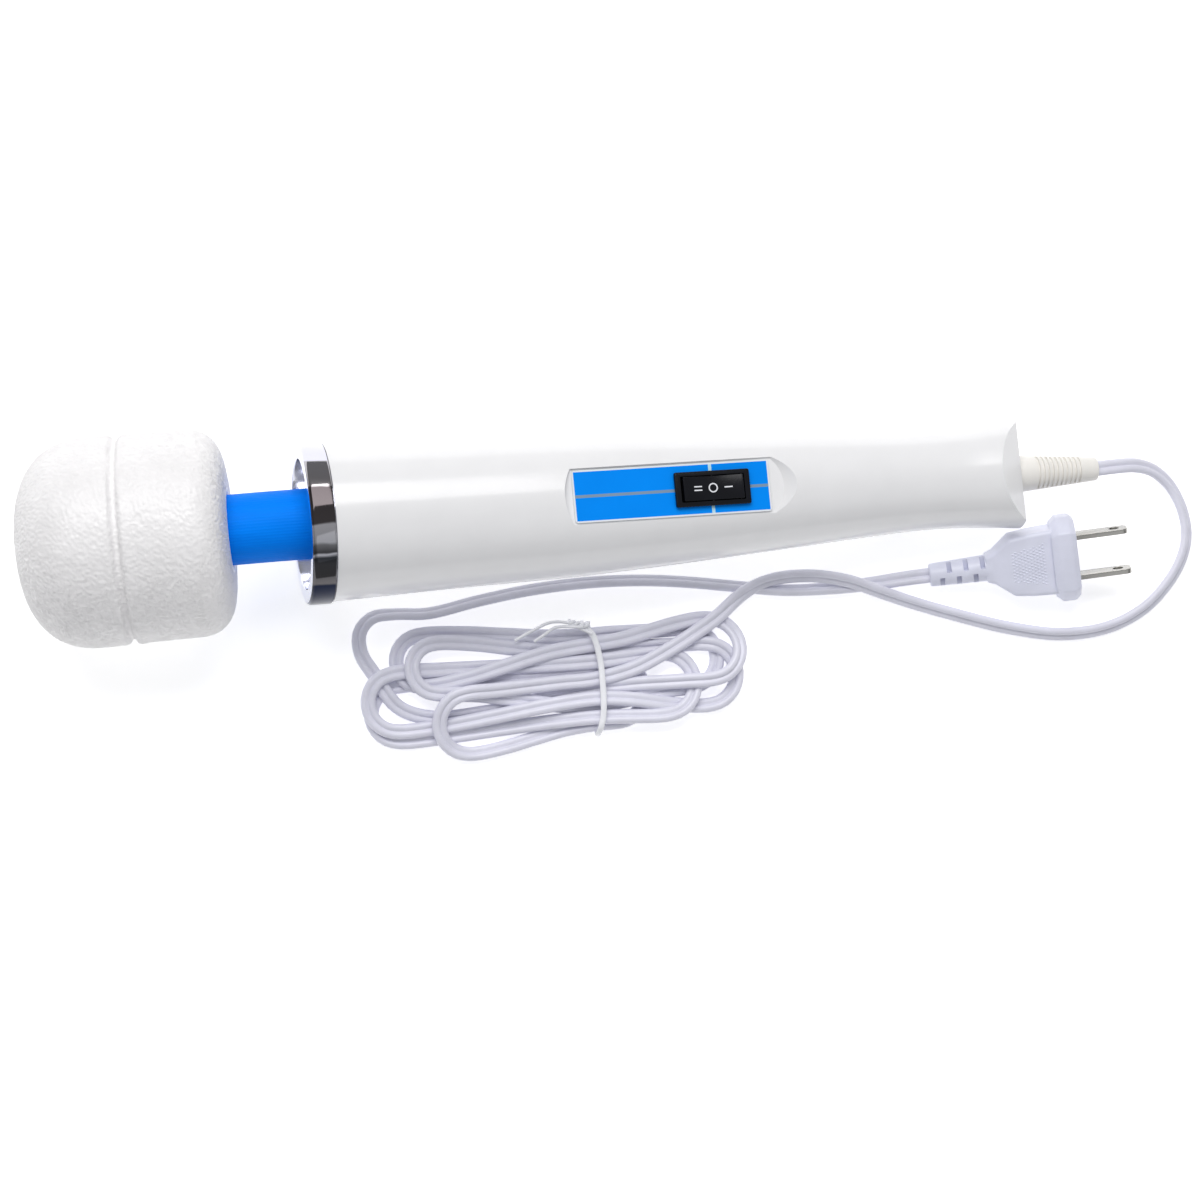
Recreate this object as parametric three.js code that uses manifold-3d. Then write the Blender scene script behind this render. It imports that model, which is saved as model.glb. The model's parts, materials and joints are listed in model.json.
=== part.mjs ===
// Handheld wand massager with its mains cord and plug.
// Millimetres. The wand lies along X on the plane z = 0, head at -X, cord at +X,
// switch panel up. The origin is under the middle of the wand, on that plane.
import * as THREE from 'three';
import { mergeVertices } from 'three/addons/utils/BufferGeometryUtils.js';
import Module from 'manifold-3d';

const wasm = await Module();
wasm.setup();

// ---------------------------------------------------------------- driving sizes

const GAP = 0.3; // between two pieces that touch on the real wand
const ROUND = 32; // sides of the large turned pieces
const SMALL_ROUND = 14; // sides of the small ones

// How the wand lies, and how the whole of it is placed over the origin.
const BODY_TILT = THREE.MathUtils.degToRad(5);
const NECK_BEND = THREE.MathUtils.degToRad(10.4);
const COLLAR_X = -81.6;
const COLLAR_Z = 35.36;

// Handle, measured along its own axis from the front face of the collar.
const BODY_LENGTH = 225;
const CASING_FRONT = 7.5;
const CASING_WALL = 2.2;
const CASING_STATIONS = [
  [CASING_FRONT, 23.8], [46, 22.5], [80, 21.8], [102, 20.8], [123, 19.6],
  [154, 17.5], [185, 15.5], [201, 15.3], [214, 16.1], [BODY_LENGTH, 16.8],
];
const TAIL_BLOCK_START = 213; // the casing is solid behind this, around the cord
const TAIL_LAND = 7; // half height of the flat end between the two bevels
const TAIL_BEVEL_START = 218.5;

// Collar.
const COLLAR_RADIUS = 24.4;
const COLLAR_LENGTH = 7.2;
const COLLAR_MOUTH = 19.6;
const COLLAR_WEB_X = 5.2;
const COLLAR_WEB = 1.6;
const VENT_COUNT = 12;

// Panel pocket: a flat floor a little less steep than the handle's top.
const PANEL_X = 109.9;
const PANEL_HEIGHT = 17.5;
const PANEL_SLOPE = THREE.MathUtils.degToRad(3.3);
const LABEL_LENGTH = 61.3;
const LABEL_WIDTH = 15.8;
const LABEL_THICKNESS = 0.4;
const POCKET_WIDTH = 17;
const POCKET_HEAD_BULGE = 2.6;
const POCKET_TAIL_BULGE = 4.2;
const POCKET_FLOOR = 2; // thickness of the casing under the pocket

// Three-position rocker switch, placed along the panel from its middle.
const SWITCH_X = 12.3;
const BEZEL_LENGTH = 23.5;
const BEZEL_WIDTH = 10.6;
const BEZEL_THICKNESS = 1.4;
const SWITCH_LENGTH = 21;
const SWITCH_WIDTH = 9.1;
const SWITCH_DEPTH = 12.5;
const ROCKER_LENGTH = 18.8;
const ROCKER_WIDTH = 7.3;
const ROCKER_PIVOT = 1.6; // above the pocket floor

// Neck.
const NECK_LENGTH = 21;
const SLEEVE_RADIUS = 10.6;
const SLEEVE_BORE = 6.6;
const SLEEVE_IN_BODY = 7.7;
const SLEEVE_IN_HEAD = 8;
const SPIGOT_RADIUS = 6.2;
const SPIGOT_BORE = 4;
const FLEX_RADIUS = 2.6;
const SPRING_RADIUS = 5.1;
const SPRING_WIRE = 0.8;
const SPRING_TURNS = 7;

// Head, measured from its back rim towards the tip, so its x runs below zero.
const HEAD_LENGTH = 64;
const HEAD_RADIUS = 31.5;
const HEAD_DOME = 24;
const HEAD_DOME_POWER = 2.5;
const HEAD_GROOVE_X = -31.5;
const HEAD_BACK_ROUND = 12;
const HEAD_BACK_FLAT = 13; // radius where the rounded back edge meets the neck hole
const CORE_RADIUS = 24;
const CORE_WALL = 3;
const CORE_SPLIT = -32;

// Motor, along the handle's axis.
const SHAFT_RADIUS = 2;
const ARMATURE_START = 39;
const ARMATURE_END = 59;
const ARMATURE_RADIUS = 9.1;
const POLE_RADIUS = 9.5;
const YOKE_INNER = 14.5;
const YOKE_OUTER = 17.2;

// Cord: a flat twin cord, drawn here as a round tube of its mean thickness.
const CORD_TUBE = 1.6;
const CORD_SIDES = 8;
const HANK_THICKNESS = 9;
const HANK_LIFT = 0.9;
const HANK_RADIUS = 18;
const HANK_LEFT = [-44, -54];
const HANK_RIGHT = [37, -50];
const TIE_X = 5;
const TIE_THICKNESS = 0.6;
const TIE_WIDTH = 2.4;

// Where the plug's cord end lies, and how the plug is turned on the table.
const PLUG_PLACE = [112.4, -28, 5];
const PLUG_YAW = THREE.MathUtils.degToRad(2);
const PLUG_PITCH = THREE.MathUtils.degToRad(8.5);
const PLUG_ROLL = THREE.MathUtils.degToRad(18);

// ---------------------------------------------------------------- materials

const finishes = {
  casing: [0xededf0, 0.22, 0],
  cushion: [0xf2f2f3, 0.6, 0],
  blue_sleeve: [0x0a84f0, 0.4, 0],
  chrome: [0xd8dade, 0.08, 1],
  label: [0x0a84ff, 0.3, 0],
  black_switch: [0x0b0c10, 0.18, 0],
  steel: [0xb9bcc0, 0.35, 1],
  copper: [0xb8673a, 0.4, 1],
  brass: [0xc9a24e, 0.35, 1],
  inner_plastic: [0xc9ccd0, 0.5, 0],
  rubber: [0x2a2b2d, 0.8, 0],
  carbon: [0x1d1d1f, 0.7, 0],
  board: [0x2d6b45, 0.5, 0],
  relief: [0xebe8e4, 0.45, 0],
  cord: [0xdedeee, 0.4, 0],
  plug: [0xd9dcef, 0.38, 0],
};

// One material for each mesh, made from the finish that it is named after.
function material(finish) {
  const [color, roughness, metalness] = finishes[finish];
  return new THREE.MeshStandardMaterial({ color, roughness, metalness });
}

// ---------------------------------------------------------------- geometry helpers

const v2 = (x, y) => new THREE.Vector2(x, y);
const v3 = (x, y, z) => new THREE.Vector3(x, y, z);

// Turned solid about X. The outline is a list of [x, radius] pairs.
function turn(outline, sides = ROUND) {
  const points = outline.map(([x, radius]) => v2(radius, x));
  if (THREE.ShapeUtils.area(points) < 0) {
    points.reverse();
  }
  const open = points[0].x === 0 && points.at(-1).x === 0;
  if (!open) {
    points.push(points[0].clone());
  }
  const geometry = new THREE.LatheGeometry(points, sides);
  geometry.rotateZ(-Math.PI / 2);
  return geometry;
}

// Plain rod and plain ring about X.
function rod(start, end, radius, sides = SMALL_ROUND) {
  return turn([[start, 0], [start, radius], [end, radius], [end, 0]], sides);
}

function ring(start, end, inner, outer, sides = ROUND) {
  return turn([[start, inner], [start, outer], [end, outer], [end, inner]], sides);
}

// Rod that stands along Z on the point (x, y).
function post(x, y, bottom, top, radius, sides = SMALL_ROUND) {
  const geometry = new THREE.CylinderGeometry(radius, radius, top - bottom, sides);
  geometry.rotateX(Math.PI / 2);
  geometry.translate(x, y, (top + bottom) / 2);
  return geometry;
}

// Box between two corners.
function block(x0, x1, y0, y1, z0, z1) {
  const geometry = new THREE.BoxGeometry(x1 - x0, y1 - y0, z1 - z0);
  geometry.translate((x0 + x1) / 2, (y0 + y1) / 2, (z0 + z1) / 2);
  return geometry;
}

// A shape drawn in the Y-Z plane and extruded along X from start to end.
function alongX(shape, start, end, curveSegments = 8) {
  const settings = { depth: end - start, bevelEnabled: false, curveSegments };
  const geometry = new THREE.ExtrudeGeometry(shape, settings);
  geometry.applyMatrix4(new THREE.Matrix4().makeBasis(v3(0, 1, 0), v3(0, 0, 1), v3(1, 0, 0)));
  geometry.translate(start, 0, 0);
  return geometry;
}

// A shape drawn in the X-Z plane and extruded across Y, centred on y = 0.
function acrossY(shape, width, curveSegments = 5) {
  const settings = { depth: width, bevelEnabled: false, curveSegments };
  const geometry = new THREE.ExtrudeGeometry(shape, settings);
  geometry.applyMatrix4(new THREE.Matrix4().makeBasis(v3(1, 0, 0), v3(0, 0, 1), v3(0, -1, 0)));
  geometry.translate(0, width / 2, 0);
  return geometry;
}

// A shape drawn in the X-Y plane and extruded up from bottom to top.
function upward(shape, bottom, top, curveSegments = 3) {
  const settings = { depth: top - bottom, bevelEnabled: false, curveSegments };
  const geometry = new THREE.ExtrudeGeometry(shape, settings);
  geometry.translate(0, 0, bottom);
  return geometry;
}

function circle(radius, x = 0, y = 0) {
  return new THREE.Shape().absarc(x, y, radius, 0, 2 * Math.PI);
}

function roundedRectangle(length, width, radius) {
  const x = length / 2 - radius;
  const y = width / 2 - radius;
  const shape = new THREE.Shape();
  shape.absarc(x, y, radius, 0, Math.PI / 2);
  shape.absarc(-x, y, radius, Math.PI / 2, Math.PI);
  shape.absarc(-x, -y, radius, Math.PI, 1.5 * Math.PI);
  shape.absarc(x, -y, radius, 1.5 * Math.PI, 2 * Math.PI);
  return shape;
}

// Solid of constant section along a curve.
function sweep(shape, curve, steps, curveSegments) {
  const settings = { steps, extrudePath: curve, bevelEnabled: false, curveSegments };
  return new THREE.ExtrudeGeometry(shape, settings);
}

// Regular outline with flat sides, for tubes.
function sided(radius, sides) {
  const corner = (i) => 2 * Math.PI * (i + 0.5) / sides;
  const points = Array.from({ length: sides }, (_, i) =>
    v2(radius * Math.cos(corner(i)), radius * Math.sin(corner(i))));
  return new THREE.Shape(points);
}

// Boolean work: a three.js geometry becomes a solid, and a solid a geometry.
function solid(geometry) {
  const bare = geometry.clone();
  bare.deleteAttribute('normal');
  bare.deleteAttribute('uv');
  const merged = mergeVertices(bare, 1e-4);
  return new wasm.Manifold(new wasm.Mesh({
    numProp: 3,
    vertProperties: new Float32Array(merged.attributes.position.array),
    triVerts: new Uint32Array(merged.index.array),
  }));
}

function geometryOf(body) {
  const mesh = body.getMesh();
  const geometry = new THREE.BufferGeometry();
  geometry.setAttribute('position', new THREE.BufferAttribute(mesh.vertProperties, 3));
  geometry.setIndex(new THREE.BufferAttribute(mesh.triVerts, 1));
  geometry.computeVertexNormals();
  return geometry;
}

function cut(base, tools) {
  return geometryOf(tools.reduce((body, tool) => body.subtract(solid(tool)), solid(base)));
}

function join(pieces) {
  return geometryOf(pieces.slice(1).reduce((body, piece) => body.add(solid(piece)), solid(pieces[0])));
}

// Puts a named mesh in a group and returns it.
function add(group, name, finish, geometry) {
  const mesh = new THREE.Mesh(geometry, material(finish));
  mesh.name = name;
  group.add(mesh);
  return mesh;
}

// ---------------------------------------------------------------- handle outline

const casingLine = new THREE.SplineCurve(CASING_STATIONS.map(([x, r]) => v2(x, r)));
const casingPoints = casingLine.getPoints(15);

// Outer radius of the casing at a distance x from the front of the collar.
function casingRadius(x) {
  const after = casingPoints.findIndex((point) => point.x >= x);
  const b = casingPoints[Math.max(after, 1)];
  const a = casingPoints[Math.max(after, 1) - 1];
  return THREE.MathUtils.mapLinear(x, a.x, b.x, a.y, b.y);
}

function casingOutline(inset, end) {
  const inside = casingPoints.filter((point) => point.x > CASING_FRONT && point.x < end);
  return [
    [CASING_FRONT, 0],
    [CASING_FRONT, casingRadius(CASING_FRONT) - inset],
    ...inside.map((point) => [point.x, point.y - inset]),
    [end, casingRadius(end) - inset],
    [end, 0],
  ];
}

// Panel outline: straight sides, and ends that are arcs of a given bulge.
function pocketShape(grow) {
  const half = POCKET_WIDTH / 2 + grow;
  const left = -LABEL_LENGTH / 2 - 0.4;
  const right = LABEL_LENGTH / 2 + 0.4;
  const shape = new THREE.Shape();
  const arcTo = (x, bulge, fromY, towards) => {
    const radius = (half * half + bulge * bulge) / (2 * bulge);
    const angle = Math.asin(half / radius);
    const centre = x + towards * (bulge - radius);
    const start = towards > 0 ? -angle : Math.PI - angle;
    shape.absarc(centre, 0, radius, start, start + 2 * angle);
  };
  shape.moveTo(left, -half);
  arcTo(right, POCKET_TAIL_BULGE + grow, -half, 1);
  arcTo(left, POCKET_HEAD_BULGE + grow, half, -1);
  return shape;
}

// Places geometry that was made on the panel's own plane into the handle's frame.
function onPanel(geometry) {
  geometry.rotateY(PANEL_SLOPE);
  geometry.translate(PANEL_X, 0, PANEL_HEIGHT);
  return geometry;
}

// ---------------------------------------------------------------- casing

const CASING_SCREWS = [[92, 11.5], [92, -11.5], [188, 8.6], [188, -8.6]];
const BOSS_RADIUS = 4.2;
const SCREW_HEAD_RADIUS = 2.7;
const SCREW_HEAD_HEIGHT = 2;
const SCREW_RADIUS = 1.2;
const BOARD_RIBS = [154, 176];
const BOARD_HEIGHT = -6;
const CLAMP_X = 197;
const CLAMP_SCREW_Y = 5.6;

// Height of the screw's bearing face in the lower casing.
function screwSeat(x, y) {
  return -Math.sqrt(casingRadius(x) ** 2 - y * y) + 3.4;
}

// The wall below the pocket floor, which the cavity leaves standing.
function pocketTray() {
  return onPanel(upward(pocketShape(1.8), -POCKET_FLOOR, 8, 8));
}

function tailBevel(side) {
  const height = casingRadius(TAIL_BEVEL_START);
  const shape = new THREE.Shape([
    v2(TAIL_BEVEL_START, height), v2(BODY_LENGTH, TAIL_LAND),
    v2(BODY_LENGTH + 10, TAIL_LAND), v2(BODY_LENGTH + 10, height + 5), v2(TAIL_BEVEL_START, height + 5),
  ]);
  const geometry = acrossY(shape, 3 * height);
  if (side < 0) {
    geometry.rotateX(Math.PI);
  }
  return geometry;
}

const RELIEF_BORE = 6.1;

function casingShell() {
  const cavity = solid(turn(casingOutline(CASING_WALL, TAIL_BLOCK_START))).subtract(solid(pocketTray()));
  const mouthRadius = casingRadius(CASING_FRONT) - CASING_WALL;
  const mouth = solid(rod(CASING_FRONT - 1, CASING_FRONT + 1, mouthRadius, ROUND));
  const outer = solid(turn(casingOutline(0, BODY_LENGTH)));
  const bore = solid(rod(TAIL_BLOCK_START - 1, BODY_LENGTH + 1, RELIEF_BORE));
  return outer.subtract(cavity).subtract(mouth).subtract(bore)
    .subtract(solid(tailBevel(1))).subtract(solid(tailBevel(-1)));
}

const halfSpace = (z0, z1) => solid(block(-50, BODY_LENGTH + 50, -60, 60, z0, z1));
const shell = casingShell();
const outerBody = solid(turn(casingOutline(0.4, TAIL_BLOCK_START)));

function casingTop() {
  let body = shell;
  for (const [x, y] of CASING_SCREWS) {
    body = body.add(solid(post(x, y, 0, 60, 3.2)).intersect(outerBody));
  }
  body = body.intersect(halfSpace(GAP / 2, 60));
  const pocket = onPanel(upward(pocketShape(0), 0, 12, 8));
  const ramp = upward(pocketShape(0), 0, 12, 8);
  ramp.applyMatrix4(new THREE.Matrix4().makeShear(0, 0, 0, 0, 1.3, 0));
  body = body.subtract(solid(pocket)).subtract(solid(onPanel(ramp)));
  const opening = upward(roundedRectangle(SWITCH_LENGTH + 2 * GAP, SWITCH_WIDTH + 2 * GAP, 0.4), -8, 8);
  opening.translate(SWITCH_X, 0, 0);
  body = body.subtract(solid(onPanel(opening)));
  for (const [x, y] of CASING_SCREWS) {
    body = body.subtract(solid(post(x, y, -1, 8, SCREW_RADIUS + GAP)));
  }
  return geometryOf(body);
}

function casingBottom() {
  let body = shell;
  for (const [x, y] of CASING_SCREWS) {
    body = body.add(solid(post(x, y, -60, 0, BOSS_RADIUS)).intersect(outerBody));
  }
  for (const x of BOARD_RIBS) {
    body = body.add(solid(block(x - 1, x + 1, -30, 30, -60, BOARD_HEIGHT - GAP)).intersect(outerBody));
  }
  const saddle = block(CLAMP_X - 3, CLAMP_X + 3, -30, 30, -60, -2.6);
  body = body.add(solid(saddle).intersect(outerBody)).intersect(halfSpace(-60, -GAP / 2));
  for (const [x, y] of CASING_SCREWS) {
    body = body.subtract(solid(post(x, y, -60, 1, SCREW_RADIUS + GAP)));
    body = body.subtract(solid(post(x, y, -60, screwSeat(x, y), SCREW_HEAD_RADIUS + GAP)));
  }
  for (const y of [-CLAMP_SCREW_Y, CLAMP_SCREW_Y]) {
    body = body.subtract(solid(post(CLAMP_X, y, -9, 0, 1.2, 12)));
  }
  return geometryOf(body);
}

// Pan-head screw that points up, with the bearing face of its head at the local origin.
function screw(headRadius, headHeight, radius, length) {
  const shank = post(0, 0, -0.2, length, radius, 8);
  const head = post(0, 0, -headHeight, 0, headRadius, 12);
  const slot = headRadius * 0.62;
  const slots = [
    block(-slot, slot, -0.35, 0.35, -headHeight - 1, -headHeight + 0.8),
    block(-0.35, 0.35, -slot, slot, -headHeight - 1, -headHeight + 0.8),
  ];
  return cut(join([shank, head]), slots);
}

function buildCasing(wand) {
  add(wand, 'casing_top', 'casing', casingTop());
  add(wand, 'casing_bottom', 'casing', casingBottom());
  CASING_SCREWS.forEach(([x, y], i) => {
    const seat = screwSeat(x, y);
    const length = 7 - seat;
    const geometry = screw(SCREW_HEAD_RADIUS, SCREW_HEAD_HEIGHT, SCREW_RADIUS, length);
    add(wand, `casing_screw_${i + 1}`, 'steel', geometry).position.set(x, y, seat - GAP);
  });
}

// ---------------------------------------------------------------- collar and neck holder

const COLLAR_SKIRT = 21.4;

function buildCollar(wand) {
  const band = turn([
    [0, COLLAR_MOUTH + 0.6], [0, COLLAR_RADIUS - 1.3], [0.4, COLLAR_RADIUS - 0.4],
    [1.3, COLLAR_RADIUS], [COLLAR_LENGTH - 0.5, COLLAR_RADIUS], [COLLAR_LENGTH, COLLAR_RADIUS - 0.5],
    [COLLAR_LENGTH, COLLAR_SKIRT], [CASING_FRONT + 4, COLLAR_SKIRT],
    [CASING_FRONT + 4, COLLAR_SKIRT - 1], [COLLAR_WEB_X + COLLAR_WEB, COLLAR_SKIRT - 1],
    [COLLAR_WEB_X + COLLAR_WEB, SLEEVE_RADIUS + GAP], [COLLAR_WEB_X, SLEEVE_RADIUS + GAP],
    [COLLAR_WEB_X, COLLAR_MOUTH - 0.4], [0.6, COLLAR_MOUTH],
  ]);
  const vents = Array.from({ length: VENT_COUNT }, (_, i) => {
    const vent = block(COLLAR_WEB_X - 2, COLLAR_WEB_X + COLLAR_WEB + 1, 12.6, 17.8, -1.2, 1.2);
    vent.rotateX(2 * Math.PI * i / VENT_COUNT);
    return vent;
  });
  add(wand, 'chrome_collar', 'chrome', cut(band, vents));

  const holder = turn([
    [0, SPIGOT_BORE], [0, SPIGOT_RADIUS], [SLEEVE_IN_BODY + GAP, SPIGOT_RADIUS],
    [SLEEVE_IN_BODY + GAP, COLLAR_SKIRT - 1 - GAP], [11.5, COLLAR_SKIRT - 1 - GAP], [11.5, SPIGOT_BORE],
  ]);
  const windows = Array.from({ length: 6 }, (_, i) => {
    const window = rod(6, 13, 2.6, 8);
    window.translate(0, 0, 15.2);
    window.rotateX(2 * Math.PI * (i + 0.5) / 6);
    return window;
  });
  add(wand, 'neck_holder', 'inner_plastic', cut(holder, windows));
}

// ---------------------------------------------------------------- switch panel

function buildPanel(wand) {
  const label = upward(roundedRectangle(LABEL_LENGTH, LABEL_WIDTH, 1), 0.25, 0.25 + LABEL_THICKNESS);
  const hole = upward(roundedRectangle(SWITCH_LENGTH + 2 * GAP, SWITCH_WIDTH + 2 * GAP, 0.4), -1, 2);
  hole.translate(SWITCH_X, 0, 0);
  add(wand, 'label_plate', 'label', onPanel(cut(label, [hole])));

  const seat = 0.25 + LABEL_THICKNESS + 0.25;
  const flange = upward(roundedRectangle(BEZEL_LENGTH, BEZEL_WIDTH, 0.6), seat, seat + BEZEL_THICKNESS);
  const box = upward(roundedRectangle(SWITCH_LENGTH, SWITCH_WIDTH, 0.3), seat - SWITCH_DEPTH, seat + 0.2);
  const well = upward(roundedRectangle(ROCKER_LENGTH + 1.2, ROCKER_WIDTH + 2 * GAP, 0.2),
    ROCKER_PIVOT - 5, seat + 3);
  const pivotHole = new THREE.CylinderGeometry(1, 1, SWITCH_WIDTH + 2, 12);
  pivotHole.translate(0, 0, ROCKER_PIVOT);
  const body = cut(join([flange, box]), [well, pivotHole]);
  body.translate(SWITCH_X, 0, 0);
  add(wand, 'switch_body', 'black_switch', onPanel(body));

  const below = seat - SWITCH_DEPTH - GAP;
  const strip = block(SWITCH_X - 8, SWITCH_X + 8, -2.4, 2.4, below - 0.8, below);
  const tabs = [-7, 0, 7].map((x) =>
    block(SWITCH_X + x - 0.4, SWITCH_X + x + 0.4, -2.4, 2.4, below - 6, below - 0.4));
  add(wand, 'switch_terminals', 'brass', onPanel(join([strip, ...tabs])));

  const half = ROCKER_LENGTH / 2;
  const side = new THREE.Shape();
  side.moveTo(-half, 1.7);
  side.quadraticCurveTo(0, -0.1, half, 1.7);
  side.lineTo(half - 0.3, -1.8);
  side.quadraticCurveTo(0, -4.4, -half + 0.3, -1.8);
  const pins = new THREE.CylinderGeometry(0.7, 0.7, SWITCH_WIDTH - 0.8, 12);
  const rocker = join([acrossY(side, ROCKER_WIDTH), pins]);
  rocker.translate(SWITCH_X, 0, ROCKER_PIVOT);
  add(wand, 'rocker', 'black_switch', onPanel(rocker));
}

// ---------------------------------------------------------------- motor

// Band of the annulus between two radii, centred on a direction in the Y-Z plane.
function sector(inner, outer, middle, halfAngle) {
  const shape = new THREE.Shape();
  shape.absarc(0, 0, outer, middle - halfAngle, middle + halfAngle);
  shape.absarc(0, 0, inner, middle + halfAngle, middle - halfAngle, true);
  return shape;
}

function buildStator(wand) {
  const poleHalf = THREE.MathUtils.degToRad(36);
  const yoke = circle(YOKE_OUTER);
  const window = new THREE.Path();
  for (const middle of [Math.PI / 2, -Math.PI / 2]) {
    window.absarc(0, 0, POLE_RADIUS, middle + poleHalf, middle - poleHalf, true);
    window.absarc(0, 0, YOKE_INNER, middle - poleHalf, middle - Math.PI + poleHalf, true);
  }
  yoke.holes.push(window);
  add(wand, 'stator_core', 'steel', alongX(yoke, ARMATURE_START, ARMATURE_END, 10));

  [Math.PI / 2, -Math.PI / 2].forEach((middle, i) => {
    const outer = alongX(sector(9.9, 13.6, middle, 1.16), ARMATURE_START - 4.3, ARMATURE_END + 4.3);
    const core = alongX(sector(8, 16, middle, 0.7), ARMATURE_START - GAP, ARMATURE_END + GAP);
    add(wand, `field_coil_${i + 1}`, 'copper', cut(outer, [core]));
  });

  const mounts = { motor_mount_front: ARMATURE_START + 0.5, motor_mount_rear: ARMATURE_END - 4.5 };
  for (const [name, x] of Object.entries(mounts)) {
    const outer = casingRadius(x + 4) - CASING_WALL - GAP - 0.1;
    add(wand, name, 'rubber', ring(x, x + 4, YOKE_OUTER + GAP, outer, 24));
  }
}

const BEARING_OUTER = 5.5;
const FRONT_BEARING = 29.5;
const REAR_BEARING = 74.4;

// End bracket: a windowed plate with a bearing cup and four legs that reach the stator.
function endBracket(plateStart, legStart, legEnd, cupStart) {
  const plate = circle(YOKE_OUTER - 0.7);
  const hole = new THREE.Path().absarc(0, 0, BEARING_OUTER + GAP, 0, 2 * Math.PI, true);
  plate.holes.push(hole);
  const cup = ring(cupStart, cupStart + 5, BEARING_OUTER + GAP, 7.8, 20);
  const legs = Array.from({ length: 4 }, (_, i) => {
    const leg = rod(legStart, legEnd, 1.2, 6);
    leg.translate(0, 0, YOKE_OUTER - 2);
    leg.rotateX(Math.PI * (i + 0.5) / 2);
    return leg;
  });
  const windows = Array.from({ length: 4 }, (_, i) => {
    const window = rod(plateStart - 1, plateStart + 4, 2.7, 8);
    window.translate(0, 0, 11.6);
    window.rotateX(Math.PI * i / 2);
    return window;
  });
  return cut(join([alongX(plate, plateStart, plateStart + 2.5, 8), cup, ...legs]), windows);
}

function buildMotorFrame(wand) {
  add(wand, 'end_bracket_front', 'inner_plastic',
    endBracket(FRONT_BEARING + 1, FRONT_BEARING + 3, ARMATURE_START - GAP, FRONT_BEARING));
  add(wand, 'end_bracket_rear', 'inner_plastic',
    endBracket(REAR_BEARING + 1, ARMATURE_END + GAP, REAR_BEARING + 1.5, REAR_BEARING));
  for (const [name, x] of [['motor_bearing_front', FRONT_BEARING], ['motor_bearing_rear', REAR_BEARING]]) {
    add(wand, name, 'steel', ring(x, x + 5, SHAFT_RADIUS + GAP, BEARING_OUTER, 16));
  }
  [1, -1].forEach((side, i) => {
    const holder = block(65, 71.5, 7.2, 14.6, -3.2, 3.2);
    const channel = block(66, 70.5, 6, 15, -2.2, 2.2);
    const brush = block(66.3, 70.2, 6.9, 12, -1.9, 1.9);
    const turnOver = side > 0 ? 0 : Math.PI;
    const tube = cut(holder, [channel]);
    tube.rotateX(turnOver);
    brush.rotateX(turnOver);
    add(wand, `brush_holder_${i + 1}`, 'brass', tube);
    add(wand, `carbon_brush_${i + 1}`, 'carbon', brush);
  });
}

function buildRotor(wand) {
  add(wand, 'motor_shaft', 'steel', rod(17.9, 81, SHAFT_RADIUS));

  const slots = 8;
  const slotAngle = (i) => 2 * Math.PI * i / slots;
  const lamination = circle(ARMATURE_RADIUS);
  lamination.holes.push(new THREE.Path().absarc(0, 0, SHAFT_RADIUS + GAP, 0, 2 * Math.PI, true));
  const bars = Array.from({ length: slots }, (_, i) => {
    const bar = rod(ARMATURE_START - 1, ARMATURE_END + 1, 1.4, 8);
    bar.translate(0, 6.9 * Math.cos(slotAngle(i)), 6.9 * Math.sin(slotAngle(i)));
    return bar;
  });
  add(wand, 'armature_core', 'steel', cut(alongX(lamination, ARMATURE_START, ARMATURE_END, 12), bars));

  const wires = Array.from({ length: slots }, (_, i) => {
    const wire = rod(ARMATURE_START - 1, ARMATURE_END + 1, 1.1, 6);
    wire.translate(0, 6.9 * Math.cos(slotAngle(i)), 6.9 * Math.sin(slotAngle(i)));
    return wire;
  });
  const ends = [
    ring(ARMATURE_START - 3.6, ARMATURE_START - GAP, 2.6, 8.4, 16),
    ring(ARMATURE_END + GAP, ARMATURE_END + 3.6, 2.6, 8.4, 16),
  ];
  add(wand, 'armature_winding', 'copper', join([...ends, ...wires]));

  const segments = Array.from({ length: 12 }, (_, i) => {
    const groove = block(63.9, 73, 5.9, 8, -0.2, 0.2);
    groove.rotateX(2 * Math.PI * i / 12);
    return groove;
  });
  add(wand, 'commutator', 'copper', cut(ring(64, 72.6, SHAFT_RADIUS + GAP, 6.5, 24), segments));

  const blades = Array.from({ length: 8 }, (_, i) => {
    const blade = block(23, 27.4, 4, 16.5, -0.5, 0.5);
    blade.rotateX(2 * Math.PI * i / 8);
    return blade;
  });
  const hub = ring(22.6, 28.2, SHAFT_RADIUS + GAP, 5, 16);
  const disc = ring(27, 28.2, SHAFT_RADIUS + GAP, 16.5, 24);
  add(wand, 'cooling_fan', 'inner_plastic', join([hub, disc, ...blades]));

  add(wand, 'drive_coupling', 'brass', turn([
    [12.2, FLEX_RADIUS + GAP], [12.2, 5], [22, 5], [22, SHAFT_RADIUS + GAP],
    [17.6, SHAFT_RADIUS + GAP], [17.6, 0], [17, 0], [17, FLEX_RADIUS + GAP],
  ], 14));
}

// ---------------------------------------------------------------- electrics behind the switch

function wire(points) {
  const curve = new THREE.CatmullRomCurve3(points.map((p) => v3(...p)));
  return sweep(sided(0.8, 6), curve, 16, 1);
}

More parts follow.
